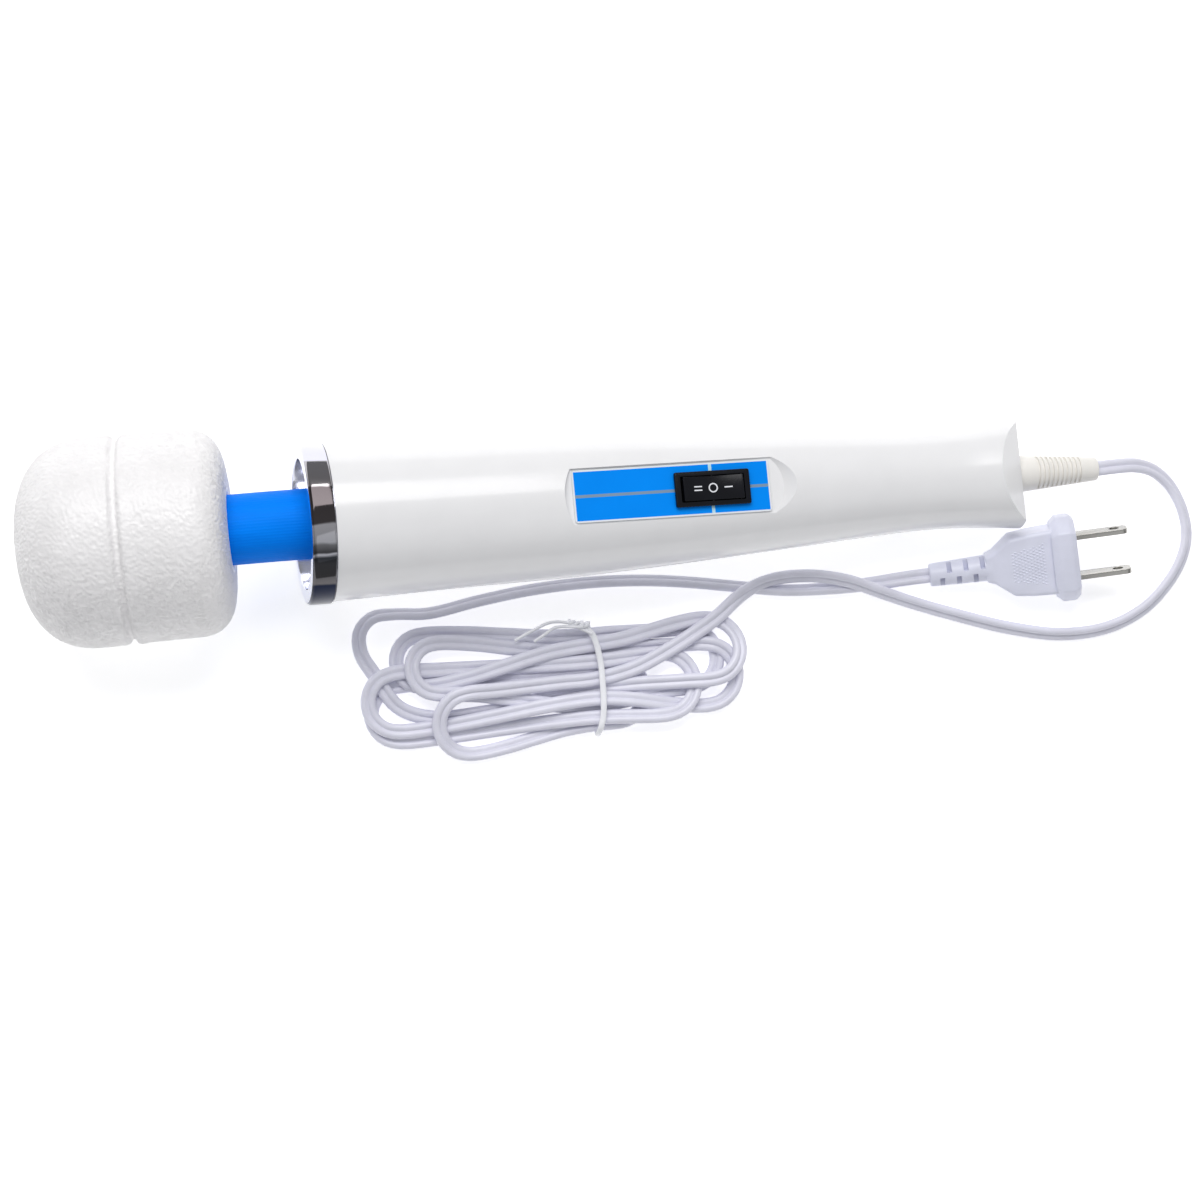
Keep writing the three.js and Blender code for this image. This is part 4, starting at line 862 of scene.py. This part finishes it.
def make_casing_bottom():
    solids = [post(x, y, -60, 0, LOWER_POST_RADIUS) for x, y in CASING_SCREWS]
    solids += [crossbar(x, RIB_HALF_THICKNESS, RIB_TOP) for x in RIBS_X]
    solids.append(crossbar(SADDLE_X, SADDLE_HALF_LENGTH, SADDLE_TOP))
    cuts = [slab("upper_half", -SEAM, 80)]
    for x, y in CASING_SCREWS:
        cuts.append(post(x, y, -60, 1, SCREW_RADIUS + GAP))
        cuts.append(post(x, y, -60, screw_seat(x, y), SCREW_HEAD_RADIUS + GAP))
    for y in (-CLAMP_HOLE_Y, CLAMP_HOLE_Y):
        cuts.append(post(SADDLE_X, y, -CLAMP_HOLE_DEPTH, 1, CLAMP_HOLE_RADIUS))
    additions = [inside_casing(solid) for solid in solids]
    place(casing_half("casing_lower", additions, cuts), "housing", "casing", "casing_bottom")


def screw_outline(length):
    """Rounded head before x = 0, then a threaded shank that ends in a flat point."""
    head = arc(-SCREW_HEAD_HEIGHT + 1, SCREW_HEAD_RADIUS - 1, 1, 180, 90, 6)
    outline = [(-SCREW_HEAD_HEIGHT, 0), *head, (0, SCREW_HEAD_RADIUS), (0, SCREW_RADIUS)]
    for k in range(int((length - 1) / THREAD_PITCH)):
        crest = 0.8 + THREAD_PITCH * k
        outline += [(crest, SCREW_RADIUS), (crest + THREAD_PITCH / 2, SCREW_RADIUS - THREAD_DEPTH)]
    return [*outline, (length, 0.3), (length, 0)]


def make_casing_screws():
    for i, (x, y) in enumerate(CASING_SCREWS, 1):
        seat = screw_seat(x, y)
        upright = WAND @ Matrix.Translation((x, y, seat - GAP)) @ Matrix.Rotation(-math.pi / 2, 4, "Y")
        outline = screw_outline(SCREW_TIP_HEIGHT - seat)
        screw = turned(f"housing_screw_{i}", outline, upright, MATERIALS["steel"], 48)
        top, bottom = -SCREW_HEAD_HEIGHT - 1, -SCREW_HEAD_HEIGHT + CROSS_SLOT_DEPTH
        sides = (CROSS_SLOT_LENGTH / 2, CROSS_SLOT_WIDTH / 2)
        slots = [box("slot", (top, -a, -b), (bottom, a, b), upright) for a, b in (sides, sides[::-1])]
        place(soften(carve(screw, slots)), "housing", "steel", f"casing_screw_{i}")


def make_collar():
    """Chrome ring with a rolled rim, a sunk web with vents in it, and a skirt inside the casing."""
    web_back, skirt_end = COLLAR_WEB_X + COLLAR_WEB, CASING_FRONT + 4
    bore = SLEEVE_RADIUS + GAP
    outline = [
        *arc(0.5, COLLAR_MOUTH + 0.5, 0.5, 270, 180, 6), *arc(1.3, COLLAR_RADIUS - 1.3, 1.3, 180, 90, 10),
        *arc(COLLAR_LENGTH - 0.5, COLLAR_RADIUS - 0.5, 0.5, 90, 0, 6),
        (COLLAR_LENGTH, COLLAR_SKIRT), (skirt_end, COLLAR_SKIRT), (skirt_end, COLLAR_SKIRT - 1),
        (web_back, COLLAR_SKIRT - 1), (web_back, bore), (COLLAR_WEB_X + 0.3, bore),
        (COLLAR_WEB_X, bore + 0.3), (COLLAR_WEB_X, COLLAR_MOUTH - 0.9),
        (COLLAR_WEB_X - 0.5, COLLAR_MOUTH - 0.4),
    ]
    # the ring's outer faces carry the painted reflection bands; its inner faces get plain chrome below
    band = turned("collar_ring", outline, WAND, MATERIALS["chrome"], 192)
    vents = []
    for i in range(VENT_COUNT):
        turn = WAND @ Matrix.Rotation(2 * math.pi * i / VENT_COUNT, 4, "X")
        lowest = (COLLAR_WEB_X - 2, -VENT_HALF_WIDTH, VENT_INNER)
        vents.append(box("vent", lowest, (web_back + 1, VENT_HALF_WIDTH, VENT_OUTER), turn))
    carve(band, vents)
    band.data.materials.append(MATERIALS["chrome_inside"])
    back = WAND.inverted()
    for face in band.data.polygons:
        centre = back @ face.center
        face.material_index = int(math.hypot(centre.y, centre.z) < COLLAR_RADIUS - 0.9)
    place(soften(band, 30), "housing", "chrome", "chrome_collar")


# -------- panel and switch


def label_finish(x, y):
    """Index of the finish at a place on the label: field, border, long line or short marks."""
    if abs(x) > LABEL_LENGTH / 2 - LABEL_BORDER or abs(y) > LABEL_WIDTH / 2 - LABEL_BORDER:
        return 1
    if abs(y) < LABEL_LINE:
        return 2
    return 3 if abs(x - SWITCH_X) < LABEL_MARK else 0


def make_label():
    outline = rounded_rectangle(LABEL_LENGTH, LABEL_WIDTH, 1)
    plate = prism("label_sheet", outline, LABEL_BASE, LABEL_BASE + LABEL_THICKNESS, PANEL, MATERIALS["label"])
    carve(plate, [switch_opening(-1, 2)])
    for name in ("label_border", "label_line", "label_mark"):
        plate.data.materials.append(MATERIALS[name])
    bm = bmesh.new()
    bm.from_mesh(plate.data)
    bm.transform(PANEL.inverted())
    end, side = LABEL_LENGTH / 2 - LABEL_BORDER, LABEL_WIDTH / 2 - LABEL_BORDER
    lines = [((x, 0, 0), (1, 0, 0)) for x in (-end, end, SWITCH_X - LABEL_MARK, SWITCH_X + LABEL_MARK)]
    lines += [((0, y, 0), (0, 1, 0)) for y in (-side, side, -LABEL_LINE, LABEL_LINE)]
    for point, normal in lines:
        geometry = [*bm.verts, *bm.edges, *bm.faces]
        bmesh.ops.bisect_plane(bm, geom=geometry, plane_co=point, plane_no=normal)
    for face in bm.faces:
        centre = face.calc_center_median()
        face.material_index = label_finish(centre.x, centre.y)
    bm.transform(PANEL)
    bm.to_mesh(plate.data)
    bm.free()
    place(plate, "housing", "label", "label_plate")


def pivot_rod(at_rocker, inset, radius):
    """Rod across the switch on the rocker's axis."""
    across = at_rocker @ Matrix.Rotation(math.pi / 2, 4, "Z")
    return rod("pivot", -SWITCH_WIDTH / 2 + inset, SWITCH_WIDTH / 2 - inset, radius, across)


def make_switch_case(at_switch, at_rocker):
    """Bezel and box in one, with a well for the rocker and holes for its pins."""
    flange = prism("switch_case", rounded_rectangle(BEZEL_LENGTH, BEZEL_WIDTH, 0.6, 5),
                   SWITCH_SEAT, SWITCH_SEAT + BEZEL_THICKNESS, at_switch, MATERIALS["black_switch"])
    bevel(flange, 0.45, 4)
    body = prism("case", rounded_rectangle(SWITCH_LENGTH, SWITCH_WIDTH, 0.3, 3),
                 SWITCH_SEAT - SWITCH_DEPTH, SWITCH_SEAT + 0.2, at_switch)
    carve(flange, [body], "UNION")
    well = prism("well", rounded_rectangle(ROCKER_LENGTH + 1.2, ROCKER_WIDTH + 0.6, 0.3, 3),
                 ROCKER_PIVOT - 5, SWITCH_SEAT + 3, at_switch)
    carve(flange, [well, pivot_rod(at_rocker, 0.2, PIVOT_HOLE_RADIUS)])
    place(soften(flange), "housing", "black_switch", "switch_body")


def rocker_height(x):
    t = x / ROCKER_LENGTH + 0.5
    return ROCKER_TOP - 4 * ROCKER_HOLLOW * t * (1 - t)


def make_rocker(at_rocker):
    """Key with a hollow top and a rounded keel, on two pins."""
    half = ROCKER_LENGTH / 2
    top = [(x, rocker_height(x)) for x in np.linspace(-half, half, 25)]
    under = [((half - 0.3) * (1 - 2 * t), -ROCKER_SKIRT - 4 * ROCKER_KEEL * t * (1 - t))
             for t in np.linspace(0, 1, 13)]
    rocker = cross_prism("rocker_key", top + under, ROCKER_WIDTH, at_rocker, MATERIALS["black_switch"])
    bevel(rocker, 0.22, 3)
    carve(rocker, [pivot_rod(at_rocker, 0.4, PIVOT_PIN_RADIUS)], "UNION")
    place(soften(rocker), "switch_rocker", "black_switch", "rocker")


def make_marks(at_rocker):
    """Two bars, a ring and one bar, standing a little proud of the rocker's hollow top."""
    strip = rounded_rectangle(2 * MARK_HALF_WIDTH, 2 * MARK_HALF_HEIGHT, 0, 0)
    lines = [[(x, y) for x in np.linspace(start, end, 7)] for start, end, y in MARK_BARS]
    ring = circle_section(MARK_RING_RADIUS, 40)
    marks = []
    for points in [*lines, ring]:
        line = np.array([(x, y, rocker_height(x) + 0.02) for x, y in points])
        marks.append(swept("mark", line, strip, at_rocker, MATERIALS["switch_mark"], looped=points is ring))
    place(soften(joined("rocker_marks", marks)), "switch_rocker", "black_switch")


def make_switch():
    at_switch = PANEL @ Matrix.Translation((SWITCH_X, 0, 0))
    at_rocker = at_switch @ Matrix.Translation((0, 0, ROCKER_PIVOT))
    make_switch_case(at_switch, at_rocker)
    make_rocker(at_rocker)
    make_marks(at_rocker)


# -------- strain relief


def relief_radius(x, angle):
    """Tapered boot, with half-ring slots above and below that are offset by half a pitch."""
    taper = float(np.interp(x, (BODY_LENGTH, RELIEF_END), (RELIEF_ROOT, RELIEF_TIP)))
    along = x - RELIEF_SLOT_START - (0 if math.sin(angle) > 0 else RELIEF_SLOT_PITCH / 2)
    in_field = 0 <= along < RELIEF_SLOT_PITCH * (RELIEF_SLOTS - 0.5)
    in_slot = in_field and along % RELIEF_SLOT_PITCH < RELIEF_SLOT_WIDTH
    return taper - (RELIEF_SLOT_DEPTH if in_slot and abs(math.sin(angle)) > RELIEF_BRIDGE else 0)


def make_relief():
    root = TAIL_BLOCK_START - GAP
    stations = [root - 0.05, *np.linspace(root, RELIEF_SLOT_START - 0.1, 8)]
    for k in range(2 * RELIEF_SLOTS + 1):
        edge = RELIEF_SLOT_START + k * RELIEF_SLOT_PITCH / 2
        stations += [edge - 0.03, edge + 0.03]
    stations += [*np.linspace(stations[-1] + 0.5, RELIEF_END - 0.5, 5)]
    boot = surface("cord_boot", stations, relief_radius, WAND, MATERIALS["relief"], 120)
    tip_start, tip_round = RELIEF_END - 0.6, 0.6
    edge = arc(tip_start, RELIEF_TIP - tip_round, tip_round, 90, 0, 5)
    tip = turned("tip", [(tip_start, 0), (tip_start, RELIEF_TIP), *edge, (RELIEF_END, 0)], WAND, sides=120)
    flange_start = TAIL_BLOCK_START - RELIEF_FLANGE_LENGTH
    flange = rod("flange", flange_start, root + 0.02, RELIEF_FLANGE_RADIUS, WAND, sides=96)
    carve(boot, [flange, tip], "UNION")
    place(soften(boot, 40), "housing", "relief", "strain_relief")


# -------- neck


def neck_point(s):
    """Centre of the neck at a distance s from the collar towards the head, and its direction."""
    radius = NECK_LENGTH / NECK_BEND
    bent = min(max(s, 0), NECK_LENGTH)
    angle = NECK_BEND * bent / NECK_LENGTH
    straight = s - bent
    centre = Vector((-radius * math.sin(angle) - straight * math.cos(angle), 0,
                     -radius * (1 - math.cos(angle)) - straight * math.sin(angle)))
    return centre, Vector((-math.cos(angle), 0, -math.sin(angle)))


def on_neck(s, radius, angle):
    centre, along = neck_point(s)
    side = Vector((0, 1, 0))
    return centre + radius * (math.cos(angle) * side + math.sin(angle) * side.cross(along))


def neck_tube(name, rings, material, sides):
    """Closed wall through rings, each a place along the neck and a function from angle to radius."""
    angles = np.linspace(0, 2 * math.pi, sides, endpoint=False)
    verts = [on_neck(s, radius(a), a) for s, radius in rings for a in angles]
    return piece(name, verts, rings_to_faces(len(rings), sides, looped=True), WAND, material)


def sleeve_part(name, start, end):
    """Finely fluted rubber tube."""
    def outside(a):
        return SLEEVE_RADIUS - FLUTE_DEPTH / 2 * (1 - math.cos(SLEEVE_FLUTES * a))

    stations = np.linspace(start, end, round((end - start) / 0.8) + 1)
    rings = [(s, outside) for s in stations] + [(s, lambda a: SLEEVE_BORE) for s in reversed(stations)]
    return neck_tube(name, rings, MATERIALS["blue_sleeve"], 6 * SLEEVE_FLUTES)


def shaft_part(name, start, end):
    """Flexible shaft: strands laid in a long twist about a fine bore."""
    def twisted(s):
        return lambda a: FLEX_RADIUS - 0.25 + 0.15 * abs(math.cos(FLEX_STRANDS / 2 * a + 0.9 * s))

    stations = np.linspace(start, end, round((end - start) / 0.5) + 1)
    rings = [(s, twisted(s)) for s in stations] + [(s, lambda a: 0.4) for s in reversed(stations)]
    return neck_tube(name, rings, MATERIALS["steel"], 48)


def spring_part(name, start, end):
    turn = 2 * math.pi * SPRING_TURNS / (NECK_LENGTH - 2 * SPRING_INSET)
    line = [on_neck(s, SPRING_RADIUS, turn * (s - SPRING_INSET)) for s in np.linspace(start, end, 120)]
    section = circle_section(SPRING_WIRE, 12)
    return swept(name, np.array(line), section, WAND, MATERIALS["steel"], up=(1, 0, 0))


def make_neck():
    """Each part of the neck is two halves that meet in its middle."""
    middle = NECK_LENGTH / 2
    halves = [("lower", "housing", "neck_mid", 0, middle), ("upper", "neck_mid", "head", middle, NECK_LENGTH)]
    parts = {
        "neck_sleeve": (sleeve_part, "blue_sleeve", -SLEEVE_IN_BODY, NECK_LENGTH + SLEEVE_IN_HEAD),
        "flex_shaft": (shaft_part, "steel", -FLEX_IN_BODY, NECK_LENGTH + FLEX_IN_HEAD),
        "neck_spring": (spring_part, "steel", SPRING_INSET, NECK_LENGTH - SPRING_INSET),
    }
    for node, (build, slot, first, last) in parts.items():
        for half, before, after, start, end in halves:
            reach = (first, middle) if half == "lower" else (middle, last)
            obj = soften(build(f"{node}_{half}", *reach), 40)
            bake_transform(obj)
            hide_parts(node)


# -------- head


def head_outline():
    """Outer outline from the tip to the neck hole: dome, groove with a small lip, rounded back."""
    dome = []
    for a in np.linspace(0, math.pi / 2, 400):
        along, out = (part ** (2 / HEAD_DOME_POWER) for part in (math.cos(a), math.sin(a)))
        dome.append((-HEAD_LENGTH + HEAD_DOME * (1 - along), HEAD_RADIUS * out))
    groove = [(HEAD_GROOVE + x, HEAD_RADIUS - depth) for x, depth in HEAD_GROOVE_DEPTHS]
    along_power, out_power = HEAD_BACK_POWERS
    back = []
    for a in np.linspace(0, math.pi / 2, 120):
        out = (HEAD_BACK_RADIUS - HEAD_BACK_FLAT) * math.cos(a) ** out_power
        back.append((-HEAD_BACK_ROUND * (1 - math.sin(a) ** along_power), HEAD_BACK_FLAT + out))
    mouth = [(0, HEAD_RIM + 0.8), (-0.25, HEAD_RIM + 0.2), (-0.8, HEAD_RIM)]
    return np.array([*dome, *catmull_rom(groove, 10, 0.5), *back, *mouth])


def roughen(obj, count):
    """Leather grain: small rounded cells with creases between them, on the first `count` corners."""
    places = np.empty((len(obj.data.vertices), 3))
    obj.data.vertices.foreach_get("co", places.ravel())
    normals = np.array([tuple(normal.vector) for normal in obj.data.vertex_normals])
    for i in range(count):
        at = Vector(places[i] / MM)
        warp = noise.noise_vector(at * 0.7) * 0.5
        near, next_near = noise.voronoi((at + warp) * GRAIN_PER_MM)[0][:2]
        cell = smooth((next_near - near) * GRAIN_CREASE)
        swell = noise.noise(at * SWELL_PER_MM)
        places[i] += normals[i] * MM * (GRAIN_DEPTH * (cell - 1) + SWELL_DEPTH * (swell - 1))
    obj.data.vertices.foreach_set("co", places.ravel())
    obj.data.update()


def make_head():
    """Thick grained cushion with a pocket for the head's core."""
    outside = spaced(head_outline(), HEAD_MESH)
    outside[0, 1] = 0
    inner = CORE_RADIUS + GAP
    floor = -HEAD_LENGTH + HEAD_FRONT_WALL
    wall = [(x, inner) for x in np.linspace(-2 * HEAD_BACK_WALL, floor, 12)]
    inside = [(-HEAD_BACK_WALL, HEAD_RIM), (-HEAD_BACK_WALL, inner), *wall, (floor, 0)]
    sides = round(2 * math.pi * HEAD_RADIUS / HEAD_MESH)
    cushion = turned("massage_head", [*map(tuple, outside), *inside], HEAD, MATERIALS["cushion"], sides)
    roughen(cushion, (len(outside) - 6) * sides)
    place(soften(cushion, 80), "head", "cushion", "head_cushion")


# -------- plug


def plug_barrel():
    """Round neck of the plug, with short slots that alternate from side to side."""
    barrel = turned("plug_shell", PLUG_BARREL, PLUG, MATERIALS["plug"], 72)
    slots = []
    for k in range(BARREL_SLOTS):
        for across in (1, -1):
            start = BARREL_SLOT_START + BARREL_SLOT_PITCH * k + (BARREL_SLOT_SHIFT if across > 0 else 0)
            low_y, high_y = sorted((0.7 * across, 6 * across))
            for up in (1, -1):
                low_z, high_z = sorted((1.0 * up, 6 * up))
                farthest = (start + BARREL_SLOT_WIDTH, high_y, high_z)
                slots.append(box("slot", (start, low_y, low_z), farthest, PLUG))
    return carve(barrel, slots)


def plug_grip():
    """Embossed field of small four-sided points, above and below."""
    length, width = GRIP_POINT
    verts, faces = [], []
    for side in (1, -1):
        low, high = side * (PLUG_HALF_THICKNESS - 0.1), side * (PLUG_HALF_THICKNESS + GRIP_HEIGHT)
        for i in range(GRIP_ROWS):
            for j in range(GRIP_COLUMNS):
                x = GRIP_START + i * GRIP_ROW_PITCH
                y = (j - GRIP_COLUMNS // 2) * GRIP_PITCH + (0.52 if i % 2 else 0)
                if abs(y) > 0.22 * (x - 5):
                    continue
                first = len(verts)
                verts += [(x - length, y, low), (x, y - width, low), (x + length, y, low)]
                verts += [(x, y + width, low), (x, y, high)]
                faces.append((first, first + 1, first + 2, first + 3))
                faces += [(first + k, first + (k + 1) % 4, first + 4) for k in range(4)]
    return piece("grip", verts, faces, PLUG, MATERIALS["plug"])


def lofted(name, rings):
    """Solid of the plug through rings of equally many corners."""
    corners = [corner for ring in rings for corner in ring]
    return piece(name, corners, rings_to_faces(len(rings), len(rings[0])), PLUG)


def make_plug():
    body = lofted("body", [[(x, u, v) for u, v in rounded_rectangle(2 * y, 2 * z, PLUG_EDGE, 5)]
                           for x, y, z in PLUG_SECTIONS])
    flange = lofted("flange", [[(x, u * share, v * share) for u, v in PLUG_FLANGE]
                               for x, share in PLUG_FLANGE_SECTIONS])
    bevel(body, 0.5, 3, 25)
    bevel(flange, 0.4, 3, 25)
    shell = soften(carve(plug_barrel(), [body, flange], "UNION"), 30)
    shell = joined("plug_shell", [shell, plug_grip()])
    place(shell, "housing", "plug", "plug_body")
    return [shell, *[make_blade(i, side) for i, side in enumerate((1, -1), 1)]]


def make_blade(i, side):
    """Flat blade with a rounded end and a hole through it."""
    start = PLUG_LENGTH - 2
    end = PLUG_LENGTH + GAP + BLADE_LENGTH
    half = BLADE_WIDTH / 2
    right, left = (arc(end - BLADE_ROUND, turn * (half - BLADE_ROUND), BLADE_ROUND, first, first + 90, 6)
                   for turn, first in ((-1, -90), (1, 0)))
    outline = [(start, -half), *right, *left, (start, half)]
    at_blade = PLUG @ Matrix.Translation((0, side * BLADE_SPACING / 2, 0))
    blade = cross_prism(f"contact_blade_{i}", outline, BLADE_THICKNESS, at_blade, MATERIALS["blades"])
    at_hole = at_blade @ Matrix.Translation((end - BLADE_HOLE_BACK, 0, 0))
    across = at_hole @ Matrix.Rotation(math.pi / 2, 4, "Z")
    carve(blade, [rod("hole", -2, 2, BLADE_HOLE_RADIUS, across)])
    bevel(blade, 0.2, 3)
    return place(soften(blade), "housing", "blades", f"plug_blade_{i}")


# -------- stage


FLOOR_HALF, FLOOR_CELLS, FLOOR_GLOW = 2.5, 8, 0.48
WORLD_LEVELS = [(0.0, 0.55), (0.5, 0.6), (0.62, 0.85), (1.0, 1.0)]
WORLD_TINT, WORLD_STRENGTH = (0.97, 0.98, 1.0), 0.5

# Each light's name, power in watts, size, place, aim and colour.
LIGHTS = [
    ("key", 20.5, (1.4, 1.0), (-0.15, 0.9, 1.5), (0.02, -0.02, 0.0), (1.0, 0.99, 0.985)),
    ("fill", 1.2, (1.2, 1.2), (0.5, -1.1, 1.3), (0.0, 0.0, 0.0), (0.95, 0.97, 1.0)),
]


def make_floor():
    steps = np.linspace(-FLOOR_HALF, FLOOR_HALF, FLOOR_CELLS + 1)
    row = len(steps)
    firsts = [row * i + j for i in range(FLOOR_CELLS) for j in range(FLOOR_CELLS)]
    faces = [(k, k + row, k + row + 1, k + 1) for k in firsts]
    verts = [(x, y, 0) for x in steps for y in steps]
    floor = piece("floor", verts, faces, Matrix.Identity(4), MATERIALS["floor"])
    if floor.data.polygons[0].normal.z < 0:
        floor.data.flip_normals()
    shader = MATERIALS["floor"].node_tree.nodes["Principled BSDF"]
    shader.inputs["Emission Color"].default_value = (1, 1, 1, 1)
    shader.inputs["Emission Strength"].default_value = FLOOR_GLOW


def make_light(name, energy, size, at, aim, color):
    data = bpy.data.lights.new(name, "AREA")
    data.shape = "RECTANGLE"
    data.size, data.size_y = size
    data.energy = energy
    data.color = color
    light = bpy.data.objects.new(name, data)
    bpy.context.scene.collection.objects.link(light)
    light.location = at
    light.rotation_euler = (Vector(aim) - Vector(at)).to_track_quat("-Z", "Y").to_euler()


def make_world():
    """Pale surroundings, brightest overhead."""
    world = bpy.data.worlds.new("studio")
    bpy.context.scene.world = world
    world.use_nodes = True
    tree = world.node_tree
    link = tree.links.new
    coordinates = new_node(tree, "ShaderNodeTexCoord")
    split = new_node(tree, "ShaderNodeSeparateXYZ")
    stops = [(height, [level * part for part in WORLD_TINT]) for height, level in WORLD_LEVELS]
    ramp = color_ramp(tree, stops)
    link(coordinates.outputs["Generated"], split.inputs["Vector"])
    link(split.outputs["Z"], ramp.inputs["Fac"])
    link(ramp.outputs["Color"], tree.nodes["Background"].inputs["Color"])
    tree.nodes["Background"].inputs["Strength"].default_value = WORLD_STRENGTH


def make_stage():
    make_floor()
    make_world()
    for light in LIGHTS:
        make_light(*light)
    bpy.context.scene.view_settings.view_transform = "Standard"


# -------- assembly


def main():
    make_camera()
    make_stage()
    dress_cad_nodes()
    make_casing_top()
    make_casing_bottom()
    make_casing_screws()
    make_collar()
    make_label()
    make_switch()
    make_relief()
    make_neck()
    make_head()
    plug = make_plug()
    cord, line = make_cord()
    tie = make_tie(line)
    place(tie, "housing", "cord", "cord_tie")


main()
